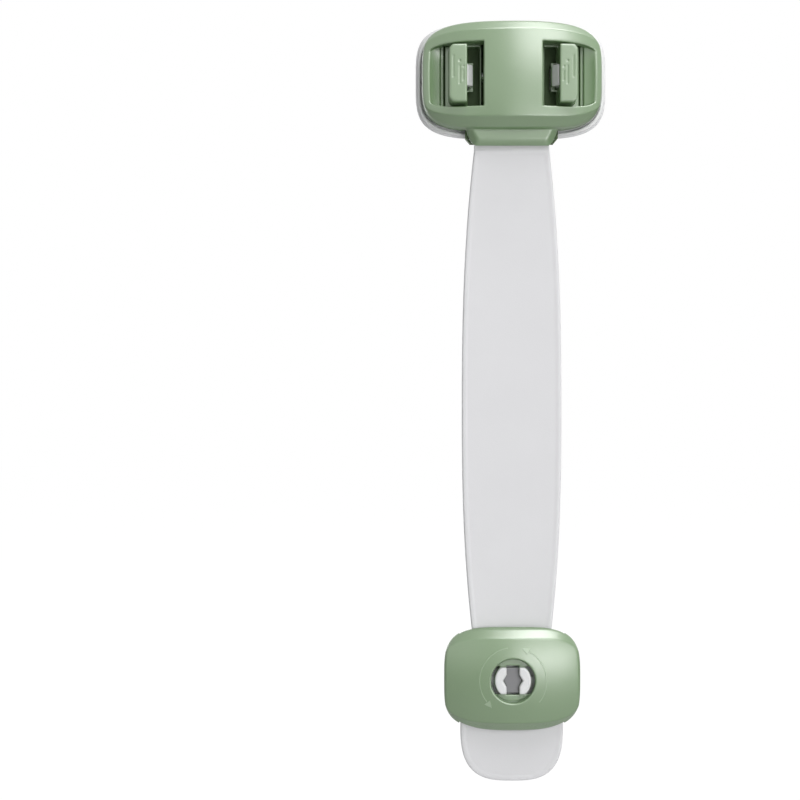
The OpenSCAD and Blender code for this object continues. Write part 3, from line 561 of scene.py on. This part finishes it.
def slider(x, y, h):
    """The button's foot with its well, and the web and the arms that carry the ledge."""
    foot = box(x, y, h, (WEB_X, -FOOT_HALF_L, FOOT_H), (PAD_END_X, FOOT_HALF_L, FOOT_TOP_H), FOOT_EDGE_R)
    end = box(x, y, h, (PAD_X, -FOOT_END_HALF_L, FOOT_H), (FOOT_END_X, FOOT_END_HALF_L, FOOT_TOP_H),
              FOOT_EDGE_R)
    well = box(x, y, h, (WEB_X + WELL_IN, -WELL_HALF_L, FOOT_H - OVERSHOOT),
               (PAD_X - WELL_OUT, WELL_HALF_L, FOOT_TOP_H + OVERSHOOT), WELL_CORNER_R)
    foot = round_cut(np.minimum(foot, end), well, WELL_EDGE_R)
    web = box(x, y, h, (WEB_X, -WEB_HALF_L, FOOT_H), (WEB_X + WEB_T, WEB_HALF_L, WEB_TOP_H), WEB_EDGE_R)
    ledge = box(x, y, h, (LEDGE_IN_X, -LEDGE_HALF_L, LEDGE_LOW_H), (LEDGE_END_X, LEDGE_HALF_L, FOOT_TOP_H),
                LEDGE_EDGE_R)
    crest = box(x, y, h, (LEDGE_IN_X, -LEDGE_TOP_HALF_L, LEDGE_LOW_H),
                (LEDGE_END_X, LEDGE_TOP_HALF_L, LEDGE_TOP_H), LEDGE_EDGE_R)
    arms = box(x, y, h, (LEDGE_IN_X, -LEDGE_HALF_L, LEDGE_LOW_H),
               (PAD_X + ARM_OVER, LEDGE_HALF_L, FOOT_TOP_H))
    arms = np.maximum(arms, ARM_OPEN_HALF_L - np.abs(y))
    ledge = np.minimum(np.minimum(web, np.minimum(ledge, crest)), arms)
    return np.minimum(foot, ledge)


def button(x, y, h):
    """Right-hand pinch button: slider, pad and spring peg, with fine marks on the pad's face."""
    side = round_and(x - PAD_END_X, np.abs(y) - PAD_HALF_L, PAD_CORNER_R)
    pad = round_and(np.maximum(side, PAD_X - x), h - PAD_H, PAD_EDGE_R)
    pad = np.maximum(round_and(pad, PAD_X - x, PAD_INNER_R), FOOT_H - h)
    form = round_or(slider(x, y, h), pad, PAD_FILLET_R)
    peg = np.maximum(np.hypot(y, h - SPRING_H) - PEG_R, slab(x, WEB_X - PEG_L, WEB_X + PEG_ROOT))
    window = np.maximum(np.maximum(x - WINDOW_END_X, np.abs(y) - WINDOW_HALF_L), h - HOOD_H)
    window = np.maximum(window, np.minimum(LEDGE_END_X - x, np.maximum(RELIEF_X - x, h - LEDGE_LOW_H)))
    form = np.maximum(np.minimum(form, peg), -window)
    for mark_x, low, high, dot in MARKS:
        aside, above = x - (PAD_X + mark_x), h - PAD_H - MARK_LIFT
        groove = np.hypot(np.hypot(aside, np.maximum(slab(y, low, high), 0)), above) - MARK_R
        if dot is not None:
            groove = np.minimum(groove, np.hypot(np.hypot(aside, y - dot), above) - DOT_R)
        form = round_cut(form, groove, MARK_EDGE_R)
    return form


moulded("right_pad", button, (8.1, -9.4, 4.9), (18.1, 9.4, 13.6), green_plastic, "right_button",
        ["right_button"], "green_plastic")
moulded("left_pad", lambda x, y, h: button(-x, y, h), (-18.1, -9.4, 4.9), (-8.1, 9.4, 13.6), green_plastic,
        "left_button", ["left_button"], "green_plastic")

# ---- Strap ----

STRAP = {
    "root_half_w": 10.2, "mid_half_w": 13.55, "waist_half_w": 10.9, "tail_half_w": 13.95,
    "root_y": -19.4, "mid_y": -90.2, "waist_y": -149.1, "narrow_y": -152.1, "flare_y": -173.7,
    "tail_y": -175.2, "tail_l": 15.7, "tail_power": 3, "power": 2.5,
    "low_h": 4.6, "face_h": 6.27, "top_h": 6.4, "border_w": 1.25}
STRAP_ROWS, TAIL_ROWS = 150, 28


def strap_half_w(y):
    """Half the strap's width at a place along it: widest half-way, with a waist above its tail."""
    s = STRAP

    def narrowed(at, end_y, end_half_w):
        """Half width between the widest place and a narrower one at end_y."""
        share = (at - s["mid_y"]) / (end_y - s["mid_y"])
        return s["mid_half_w"] - (s["mid_half_w"] - end_half_w) * share ** s["power"]

    if y > s["mid_y"]:
        return narrowed(y, s["root_y"], s["root_half_w"])
    if y > s["narrow_y"]:
        return narrowed(y, s["waist_y"], s["waist_half_w"])
    if y > s["flare_y"]:
        narrow = narrowed(s["narrow_y"], s["waist_y"], s["waist_half_w"])
        share = (1 - math.cos(math.pi * (s["narrow_y"] - y) / (s["narrow_y"] - s["flare_y"]))) / 2
        return narrow + (s["tail_half_w"] - narrow) * share
    return s["tail_half_w"]


def strap_side(inset):
    """Right-hand outline of the strap from its root to the tip of its tail."""
    s = STRAP
    side = [(strap_half_w(y) - inset, y) for y in np.linspace(s["root_y"] - inset, s["tail_y"], STRAP_ROWS)]
    bend = 2 / s["tail_power"]
    for i in range(1, TAIL_ROWS + 1):
        a = math.pi / 2 * i / TAIL_ROWS
        half_w = (s["tail_half_w"] - inset) * abs(math.cos(a)) ** bend if i < TAIL_ROWS else 0.0
        side.append((half_w, s["tail_y"] - (s["tail_l"] - inset) * math.sin(a) ** bend))
    return side


def strap_mesh():
    """Rings round the strap from its back, over its rounded edge and raised border, to its sunk face."""
    low_h, face_h, top_h, border_w = (STRAP[key] for key in ("low_h", "face_h", "top_h", "border_w"))
    rings = [  # how far in from the outline, and the height
        (0.45, low_h), (0.15, low_h + 0.1), (0.03, low_h + 0.35), (0.0, low_h + 0.9),
        (0.03, top_h - 0.4), (0.13, top_h - 0.15), (0.3, top_h - 0.04), (0.5, top_h),
        (border_w - 0.25, top_h), (border_w - 0.05, top_h - 0.04),
        (border_w + 0.2, face_h + 0.03), (border_w + 0.5, face_h)]
    points, faces, width = [], [], 0
    for inset, h in rings:
        side = strap_side(inset)
        ring = side + [(-x, y) for x, y in side[-2::-1]]
        width = len(ring)
        points += [(x, y, h) for x, y in ring]
    for k in range(len(rings) - 1):
        for i in range(width):
            a, b = k * width + i, k * width + (i + 1) % width
            faces.append((b, a, a + width, b + width))
    for start, front in ((0, False), ((len(rings) - 1) * width, True)):
        for i in range(width // 2):
            right, left = (start + i, start + i + 1), (start + width - 1 - i, start + width - 2 - i)
            loop = list(dict.fromkeys([right[0], left[0], left[1], right[1]]))
            if len(loop) > 2:
                faces.append(loop if front else loop[::-1])
    return points, faces


def bead_form(x, y, h):
    """The strap's thin root and the bead that turns on the pin."""
    tube = np.hypot(y - BARREL_Y, h - STRAP_H)
    bead = round_and(tube - BEAD_R, np.abs(x) - BEAD_HALF_W, BEAD_EDGE_R)
    root = box(x, y, h, (-BEAD_HALF_W, ROOT_END_Y, ROOT_LOW_H), (BEAD_HALF_W, BARREL_Y, ROOT_TOP_H),
               ROOT_EDGE_R)
    return np.maximum(round_or(bead, root, ROOT_FILLET_R), BEAD_BORE_R - tube)


strap_points, strap_faces = strap_mesh()
bead_points, bead_faces = net(bead_form, (-11, -21, 3.4), (11, -14.2, 7.6), CELLS["strap_bead"])
strap_faces += [[v + len(strap_points) for v in f] for f in bead_faces]
piece("strap_band", [*strap_points, *map(tuple, bead_points)], strap_faces, strap_skin, "strap", ["strap"],
      "soft_strap")

# ---- Block ----

def block_cover(x, y, h):
    """Shell of the block, with the strap's channel, the spring slots, the screw posts and the round hole."""
    y = y - BLOCK_Y
    across, round_r = np.abs(x), np.hypot(x, y)
    beside_post = np.hypot(across - POST_X, np.abs(y) - POST_Y)
    shell = round_and(crowned(x, y, h, BLOCK), BLOCK["low_h"] - h, BLOCK["low_edge_r"])
    hollow = np.maximum(crowned(x, y, h, BLOCK, BLOCK_WALL), CHANNEL_TOP_H - h)
    form = np.maximum(shell, -hollow)
    under_skin = crowned(x, y, h, BLOCK, BLOCK_SKIN)
    collar = np.maximum(np.maximum(round_r - SEAT_R, CEILING_H - h), under_skin)
    post = np.maximum(np.maximum(beside_post - POST_R, BLOCK["low_h"] - h), under_skin)
    form = np.minimum(np.minimum(form, collar), post)

    half_l = np.where(y > 0, BLOCK["half_l"], BLOCK["low_half_l"])
    skirt = oval(x, y, BLOCK["half_w"], half_l, OUTLINE_POWER) + SKIRT_LEAN * (CHANNEL_TOP_H + SKIRT_UP - h)
    form = round_and(form, skirt * SKIRT_SCALE, SKIRT_EDGE_R)
    form = round_cut(form, np.maximum(across - CHANNEL_HALF_W, h - CHANNEL_TOP_H), CHANNEL_EDGE_R)
    slot = np.maximum(np.maximum(across - SPRING_SLOT_X, np.abs(y) - SPRING_SLOT_HALF_L),
                      h - CHANNEL_TOP_H - SPRING_SLOT_D)
    pilot = np.maximum(beside_post - PILOT_R, h - PILOT_TOP_H)
    form = np.maximum(form, -np.minimum(slot, pilot))
    return round_cut(form, round_r - HOLE_R, HOLE_EDGE_R)


moulded("block_shell", block_cover, (-18.5, BLOCK_Y - 14.5, 4.4), (18.5, BLOCK_Y + 14.1, 12.3), green_plastic,
        "adjuster", ["adjuster_cover"], "green_plastic")


def block_floor(x, y, h):
    """Floor of the strap's channel, with the spring pockets and the counterbored screw holes."""
    y = y - BLOCK_Y
    across = np.abs(x)
    form = round_and(oval(x, y, FLOOR_HALF_W, FLOOR_HALF_L, OUTLINE_POWER), slab(h, FOAM_T, FLOOR_TOP_H),
                     FLOOR_EDGE_R)
    pocket = np.maximum(np.hypot(across - POCKET_X, y) - POCKET_R, POCKET_H - h)
    bore = np.hypot(across - POST_X, np.abs(y) - POST_Y)
    screw_hole = np.minimum(bore - PILOT_R, np.maximum(bore - COUNTERBORE_R, h - COUNTERBORE_H))
    return round_cut(form, np.minimum(pocket, screw_hole), BORE_EDGE_R)


def key_outline(x, y, gap=0.0):
    """Distance from the key recess: a slot with a hexagon in its middle."""
    slot = np.maximum(np.abs(x) - SLOT_HALF_W + gap, np.abs(y) - SLOT_HALF_L + gap)
    apothem = HEX_R * math.cos(math.pi / 6) - gap
    hexagon = np.maximum(np.abs(y), np.abs(x) * math.cos(math.pi / 6) + np.abs(y) / 2) - apothem
    return np.minimum(slot, hexagon)


def rotor(x, y, h):
    """Turning disc: flange, raised face with the key recess, and behind it the stem and two ramps."""
    y = y - BLOCK_Y
    round_r = np.hypot(x, y)
    form = round_and(round_r - FLANGE_R, slab(h, FLANGE_H, FLANGE_TOP_H), DISC_EDGE_R)
    face = round_and(round_r - BOSS_R, slab(h, FLANGE_H, FACE_TOP_H), DISC_EDGE_R)
    stem = np.maximum(round_r - STEM_R, slab(h, STEM_H, FLANGE_TOP_H))
    form = np.minimum(np.minimum(form, face), stem)

    turn = np.mod(np.degrees(np.arctan2(y, x)) + RAMP_BACK, 180) - RAMP_BACK
    ramp_h = FLANGE_H - RAMP_RISE * (1 + np.minimum(turn, RAMP_END) / FULL_TURN)
    ramp = np.maximum(np.maximum(slab(round_r, RAMP_IN_R, RAMP_OUT_R), ramp_h - h), h - FLANGE_TOP_H)
    outside = 1.0  # any distance above 0 leaves this part of the turn without a ramp
    form = np.minimum(form, np.where(turn <= RAMP_END, ramp, outside))

    moat = np.maximum(LUG_R + MOAT_IN - round_r, np.abs(y) - LUG_HALF_L - MOAT_GAP)
    moat = np.maximum(moat, round_r - MOAT_OUT_R)
    ends = np.maximum(slab(np.abs(y), SLOT_HALF_L - SLOT_END_L, SLOT_HALF_L), np.abs(x) - SLOT_HALF_W)
    form = round_cut(form, np.minimum(moat, ends), MOAT_EDGE_R)
    return round_cut(form, np.maximum(key_outline(x, y), RECESS_H - h), RECESS_EDGE_R)


moulded("rotor_disc", rotor, (-7.2, BLOCK_Y - 7.2, 7.0), (7.2, BLOCK_Y + 7.2, 10.3), green_plastic, "rotor",
        ["lock_rotor"], "green_plastic")


def lugs(x, y, h):
    """The two white key lugs, standing on the disc either side of the recess."""
    y = y - BLOCK_Y
    form = round_and(np.hypot(x, y) - LUG_R, np.abs(y) - LUG_HALF_L, LUG_CORNER_R)
    form = round_and(form, -key_outline(x, y), LUG_INNER_R)
    return round_and(form, slab(h, FACE_TOP_H - LUG_SINK, BOSS_TOP_H + LUG_H), LUG_EDGE_R)


moulded("key_lugs", lugs, (-4.9, BLOCK_Y - 3.6, 10.3), (4.9, BLOCK_Y + 3.6, 11.4), white_plastic, "rotor",
        ["rotor_lugs"], "white_plastic")


def key_floor(x, y, h):
    """Dark plate at the bottom of the key recess."""
    y = y - BLOCK_Y
    plate = round_and(key_outline(x, y, PIN_GAP), np.abs(y) - SLOT_HALF_L + SLOT_END_L, KEY_EDGE_R)
    return round_and(plate, slab(h, RECESS_H, RECESS_H + KEY_T), KEY_EDGE_R)


moulded("key_floor", key_floor, (-2.7, BLOCK_Y - 3.9, 9.6), (2.7, BLOCK_Y + 3.9, 9.85), key_plastic, "rotor",
        ["rotor_key_plate"], "key_plastic")


def block_face_h(x, y):
    """Height of the block's crowned face, without its bevels."""
    radius = (BLOCK["half_w"] ** 2 + BLOCK["side_drop"] ** 2) / (2 * BLOCK["side_drop"])
    return BLOCK["front_h"] - y**2 / (2 * BLOCK["long_r"]) - radius + math.sqrt(radius**2 - x**2)


ARROWS = ((-39, 62), (99, 219))  # degrees at which each arc starts and ends in its arrowhead
ARROW_R, ARROW_HALF_W, ARROW_RISE, ARROW_SUNK, ARROW_STEPS = 9.0, 0.17, 0.09, -0.05, 40
ARROWHEAD_HALF_W, ARROWHEAD_L, ARROWHEAD_TOP = 1.05, 2.1, 0.86


def turn_arrows():
    """Two thin raised arcs with arrowheads round the hole, which show the way that the lock opens."""
    points, faces = [], []
    profile = ((ARROW_R - ARROW_HALF_W, ARROW_SUNK), (ARROW_R - ARROW_HALF_W * 0.5, ARROW_RISE),
               (ARROW_R + ARROW_HALF_W * 0.5, ARROW_RISE), (ARROW_R + ARROW_HALF_W, ARROW_SUNK))
    for start, end in ARROWS:
        first = len(points)
        for i in range(ARROW_STEPS + 1):
            a = math.radians(start + (end - start) * i / ARROW_STEPS)
            for r, lift in profile:
                x, y = r * math.cos(a), r * math.sin(a)
                points.append((x, BLOCK_Y + y, block_face_h(x, y) + lift))
        for i in range(ARROW_STEPS):
            for k in range(3):
                a = first + 4 * i + k
                faces.append((a, a + 1, a + 5, a + 4))
        first = len(points)
        a = math.radians(end)
        along, out = np.array([-math.sin(a), math.cos(a)]), np.array([math.cos(a), math.sin(a)])
        corners = [ARROW_R * out - ARROWHEAD_HALF_W * out, ARROW_R * out + ARROWHEAD_HALF_W * out,
                   ARROW_R * out + ARROWHEAD_L * along]
        for lift, shrink in ((ARROW_SUNK, 1.0), (ARROW_RISE, ARROWHEAD_TOP)):
            middle = sum(corners) / 3
            for corner in corners:
                x, y = middle + (corner - middle) * shrink
                points.append((x, BLOCK_Y + y, block_face_h(x, y) + lift))
        faces += [(first + 3, first + 4, first + 5)]
        faces += [(first + k, first + (k + 1) % 3, first + 3 + (k + 1) % 3, first + 3 + k) for k in range(3)]
    return points, faces


piece("turn_arrows", *turn_arrows(), mark_plastic, "adjuster", slot="green_plastic", smooth=False)

moulded("block_floor", block_floor, (-17.3, BLOCK_Y - 12.65, 0.8), (17.3, BLOCK_Y + 12.65, 4.4),
        white_plastic, "adjuster", ["adjuster_base"], "white_plastic")


# ---- Foam tape, springs and screws ----

def foam_pad(half_w, half_l, centre_y):
    """Form of a die-cut foam pad, with its cut edge drawn in a little at half its thickness."""
    def form(x, y, h):
        waist = FOAM_WAIST * (1 - ((h - FOAM_T / 2) / (FOAM_T / 2)) ** 2)
        outline = oval(x, y - centre_y, half_w, half_l, OUTLINE_POWER) + waist
        return round_and(outline, slab(h, 0, FOAM_T), FOAM_EDGE_R)
    return form


for pad_name, half_w, half_l, centre_y, body, node in (
        ("latch_foam", 25.15, 15.0, 0, "latch", "latch_adhesive_pad"),
        ("block_foam", 16.4, 11.75, BLOCK_Y, "adjuster", "adjuster_adhesive_pad")):
    moulded(pad_name, foam_pad(half_w, half_l, centre_y), (-half_w, centre_y - half_l, 0),
            (half_w, centre_y + half_l, FOAM_T), foam, body, [node], "foam")


COIL_SIDES, WIRE_SIDES, END_CLOSING = 28, 10, 0.65


def coil_spring(name, radius, wire, length, turns, place, spread, lean, body, node):
    """Wire wound on a spiral whose turns close up towards both ends; with a spread, two of them."""
    grown = Growth(name, {"Radius": radius - wire, "Wire": wire, "Length": length, "Turns": turns,
                          "Spread": spread, "Lean": (0.0, lean, 0.0), "Place": place, "Finish": steel})
    spiral = grown.node("GeometryNodeCurveSpiral", {}, {
        "Resolution": COIL_SIDES, "Rotations": grown.given("Turns"), "Start Radius": grown.given("Radius"),
        "End Radius": grown.given("Radius"), "Height": grown.given("Length")})
    spots = grown.node("GeometryNodeInputPosition", {}, {})
    rise = grown.node("ShaderNodeSeparateXYZ", {}, {"Vector": spots}, 2)
    eased = grown.node("ShaderNodeMapRange", {"interpolation_type": "SMOOTHSTEP"}, {
        "Value": rise, "From Max": grown.given("Length"), "To Max": grown.given("Length")})
    gap = grown.node("ShaderNodeMath", {"operation": "SUBTRACT"}, {0: eased, 1: rise})
    share = grown.node("ShaderNodeMath", {"operation": "MULTIPLY"}, {0: gap, 1: END_CLOSING})
    shift = grown.node("ShaderNodeCombineXYZ", {}, {"Z": share})
    wound = grown.node("GeometryNodeSetPosition", {}, {"Geometry": spiral, "Offset": shift})
    section = grown.node("GeometryNodeCurvePrimitiveCircle", {}, {
        "Resolution": WIRE_SIDES, "Radius": grown.given("Wire")})
    swept = grown.node("GeometryNodeCurveToMesh", {}, {
        "Curve": wound, "Profile Curve": section, "Fill Caps": True})
    smooth = grown.node("GeometryNodeSetShadeSmooth", {}, {"Geometry": swept})
    leaned = grown.node("GeometryNodeTransform", {}, {"Geometry": smooth, "Rotation": grown.given("Lean")})
    row = grown.node("GeometryNodeMeshLine", {}, {
        "Count": 2 if spread[0] else 1, "Offset": grown.given("Spread")})
    placed = grown.node("GeometryNodeInstanceOnPoints", {}, {"Points": row, "Instance": leaned})
    moved = grown.node("GeometryNodeTransform", {}, {"Geometry": placed, "Translation": grown.given("Place")})
    return grown.keep(name, moved, body, [node], "steel")


SPRING_X, SPRING_END_X, PRESS = 1.07, WEB_X - 0.03, 2.4
SPRING_R, SPRING_WIRE_R, SPRING_TURNS = 1.4, 0.2, 7.0
CLAMP_SPRING_R, CLAMP_WIRE_R, CLAMP_SPRING_L, CLAMP_TURNS, CLAMP_SPRING_H = 1.0, 0.15, 2.5, 5.0, 3.63

for side, hand in (("left", -1), ("right", 1)):
    spring_l = SPRING_END_X - SPRING_X - 2 * SPRING_WIRE_R
    wound = coil_spring(f"{side}_spring", SPRING_R, SPRING_WIRE_R, spring_l, SPRING_TURNS,
                        (hand * (SPRING_X + SPRING_WIRE_R), 0.0, SPRING_H),
                        (0.0, 0.0, 0.0), hand * math.pi / 2, "head", f"{side}_button_spring")
    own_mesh(wound)
coil_spring("clamp_spring_pair", CLAMP_SPRING_R, CLAMP_WIRE_R, CLAMP_SPRING_L, CLAMP_TURNS,
            (-POCKET_X, BLOCK_Y, CLAMP_SPRING_H), (2 * POCKET_X, 0.0, 0.0), 0.0, "adjuster", "clamp_springs")


SCREW = {
    "head_r": 1.4, "head_t": 0.9, "head_edge_r": 0.25, "shank_h": 0.4, "core_r": 0.56,
    "thread_d": 0.14, "thread_h": 1.0, "pitch": 0.7, "crest": 1.6, "flank": 5, "steepness": 0.7,
    "cross_half_w": 0.17, "cross_half_l": 0.85, "cross_lean": 0.6, "cross_d": 0.55, "reach": 1.7}


def screw_form(end_h):
    """Thread-forming screw, head down: a pan head with a cross recess, and a helical thread."""
    s = SCREW

    def form(x, y, h):
        round_r = np.hypot(x, y)
        head = round_and(round_r - s["head_r"], slab(h, 0, s["head_t"]), s["head_edge_r"])
        turn = np.mod(h / s["pitch"] - np.arctan2(y, x) / (2 * math.pi), 1)
        ridge = np.clip(s["crest"] - s["flank"] * np.abs(turn - 0.5), 0, 1) * (h > s["thread_h"])
        thread = s["core_r"] + s["thread_d"] * ridge
        shank = np.maximum((round_r - thread) * s["steepness"], slab(h, s["shank_h"], end_h))
        made = np.minimum(head, shank)
        for a, b in ((x, y), (y, x)):
            arm_end = np.abs(b) - s["cross_half_l"] + s["cross_lean"] * h
            arm = np.maximum(np.abs(a) - s["cross_half_w"], arm_end)
            made = np.maximum(made, -np.maximum(arm, h - s["cross_d"]))
        return made
    return form


def screws(name, low_h, end_h, across, along, centre_y, body, node):
    """Four like screws at the corners of a rectangle."""
    length, reach, margin = end_h - low_h, SCREW["reach"], 0.3
    points, faces = net(screw_form(length), (-reach, -reach, -margin), (reach, reach, length + margin),
                        CELLS["screw"])
    base = bpy.data.meshes.new(name + "_one")
    base.from_pydata(points.tolist(), [], faces.tolist())
    base.shade_smooth()
    grown = Growth(name, {"Across": 2.0 * across, "Along": 2.0 * along,
                          "Place": (0.0, float(centre_y), low_h), "Finish": steel}, base)
    corners = grown.node("GeometryNodeMeshGrid", {}, {
        "Size X": grown.given("Across"), "Size Y": grown.given("Along"), "Vertices X": 2, "Vertices Y": 2})
    placed = grown.node("GeometryNodeInstanceOnPoints", {}, {
        "Points": corners, "Instance": grown.given("Geometry")})
    moved = grown.node("GeometryNodeTransform", {}, {"Geometry": placed, "Translation": grown.given("Place")})
    grown.keep(name, moved, body, [node], "steel")


screws("head_screw_set", 3.14, 6.05, 20.0, 6.4, 0, "head", "head_screws")
screws("block_screw_set", 0.84, 8.05, POST_X, POST_Y, BLOCK_Y, "adjuster", "adjuster_screws")

# ---- Pieces of the frame that stay, with their finishes ----

for node, material in {
        # The back plate takes the painted-shade green, darker than the shell, which stands in for the shadow
        # in the finger openings
        "head_back_plate": painted_shade_plastic, "strap_anchor_pin": steel, "rotor_washer": steel,
        "clamp_plate": grey_plastic}.items():
    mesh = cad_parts[node].data
    mesh.materials.clear()
    mesh.materials.append(material)

# ---- Stage, camera and light ----

FLOOR_REACH, FLOOR_Z = 3, -0.24
FLOOR_GREY, FLOOR_GLOW, FLOOR_GLOW_SHARE, WORLD_FILL = 0.7, 1.07, 0.93, 0.08
LAMPS = (  # name, place and target in metres, width, height, watts
    ("key_light", (0.39, -0.82, 0.41), (0, 0, -0.03), 0.58, 0.24, 2.95),
    ("low_light", (0.26, -0.51, -0.13), (0, 0, -0.163), 0.42, 0.14, 0.92),
    ("high_light", (0.08, -0.48, 0.68), (0, 0, -0.1), 0.44, 0.3, 2.35),
    ("top_light", (0.24, -0.075, 0.73), (0, 0, -0.03), 0.44, 0.44, 4.1),
    ("left_card", (-0.55, -0.7, -0.06), (0, 0, -0.08), 0.7, 0.6, 0.45),
    ("back_light", (-0.3, 0.95, -0.05), (0, 0, -0.08), 0.7, 0.7, 4.5))


def stage_floor():
    """Pale floor that shows white to the camera and keeps a faint shadow."""
    mesh = bpy.data.meshes.new("floor")
    corners = ((-1, -1), (1, -1), (1, 1), (-1, 1))
    mesh.from_pydata([(FLOOR_REACH * x, FLOOR_REACH * y, FLOOR_Z) for x, y in corners], [], [(0, 1, 2, 3)])
    floor = bpy.data.objects.new("floor", mesh)
    scene.collection.objects.link(floor)
    paint = Paint("floor_white")
    seen = paint.node("ShaderNodeLightPath", {}, {}, "Is Camera Ray")
    plain = paint.node("ShaderNodeBsdfDiffuse", {}, {"Color": (FLOOR_GREY, FLOOR_GREY, FLOOR_GREY, 1)})
    glow = paint.node("ShaderNodeEmission", {}, {"Color": (1, 1, 1, 1), "Strength": FLOOR_GLOW})
    paint.node_output(paint.node("ShaderNodeMixShader", {}, {0: seen * FLOOR_GLOW_SHARE, 1: plain, 2: glow}))
    mesh.materials.append(paint.material)


def softbox(name, place, target, width, height, watts):
    """A rectangular lamp turned to its target."""
    light = bpy.data.lights.new(name, "AREA")
    light.shape, light.size, light.size_y, light.energy = "RECTANGLE", width, height, watts
    made = bpy.data.objects.new(name, light)
    made.location = place
    made.rotation_euler = (Vector(target) - Vector(place)).to_track_quat("-Z", "Y").to_euler()
    scene.collection.objects.link(made)


def world_light(strength):
    """White behind everything that is seen directly or in a gloss, and a plain even fill on the rest."""
    world = bpy.data.worlds.new("studio")
    scene.world = world
    world.use_nodes = True
    nodes, links = world.node_tree.nodes, world.node_tree.links
    nodes.clear()
    path, end = nodes.new("ShaderNodeLightPath"), nodes.new("ShaderNodeOutputWorld")
    fill, back = nodes.new("ShaderNodeBackground"), nodes.new("ShaderNodeBackground")
    choose = nodes.new("ShaderNodeMixShader")
    fill.inputs["Color"].default_value = back.inputs["Color"].default_value = (1, 1, 1, 1)
    fill.inputs["Strength"].default_value = strength
    either = path.outputs["Is Camera Ray"]
    for name in ("Is Glossy Ray", "Is Transmission Ray"):
        both = nodes.new("ShaderNodeMath")
        both.operation = "MAXIMUM"
        links.new(either, both.inputs[0])
        links.new(path.outputs[name], both.inputs[1])
        either = both.outputs[0]
    links.new(either, choose.inputs[0])
    links.new(fill.outputs[0], choose.inputs[1])
    links.new(back.outputs[0], choose.inputs[2])
    links.new(choose.outputs[0], end.inputs["Surface"])


stage_floor()
world_light(WORLD_FILL)
for lamp in LAMPS:
    softbox(*lamp)

camera = bpy.data.cameras.new("camera")
camera.sensor_width, camera.lens = 36, 70.88
camera.clip_start, camera.clip_end = 0.01, 20
viewer = bpy.data.objects.new("camera", camera)
viewer.location = (-0.03035, -0.434, -0.08745)
viewer.rotation_euler = (math.radians(90), 0, 0)
scene.collection.objects.link(viewer)
scene.camera = viewer
scene.view_settings.view_transform = "Standard"
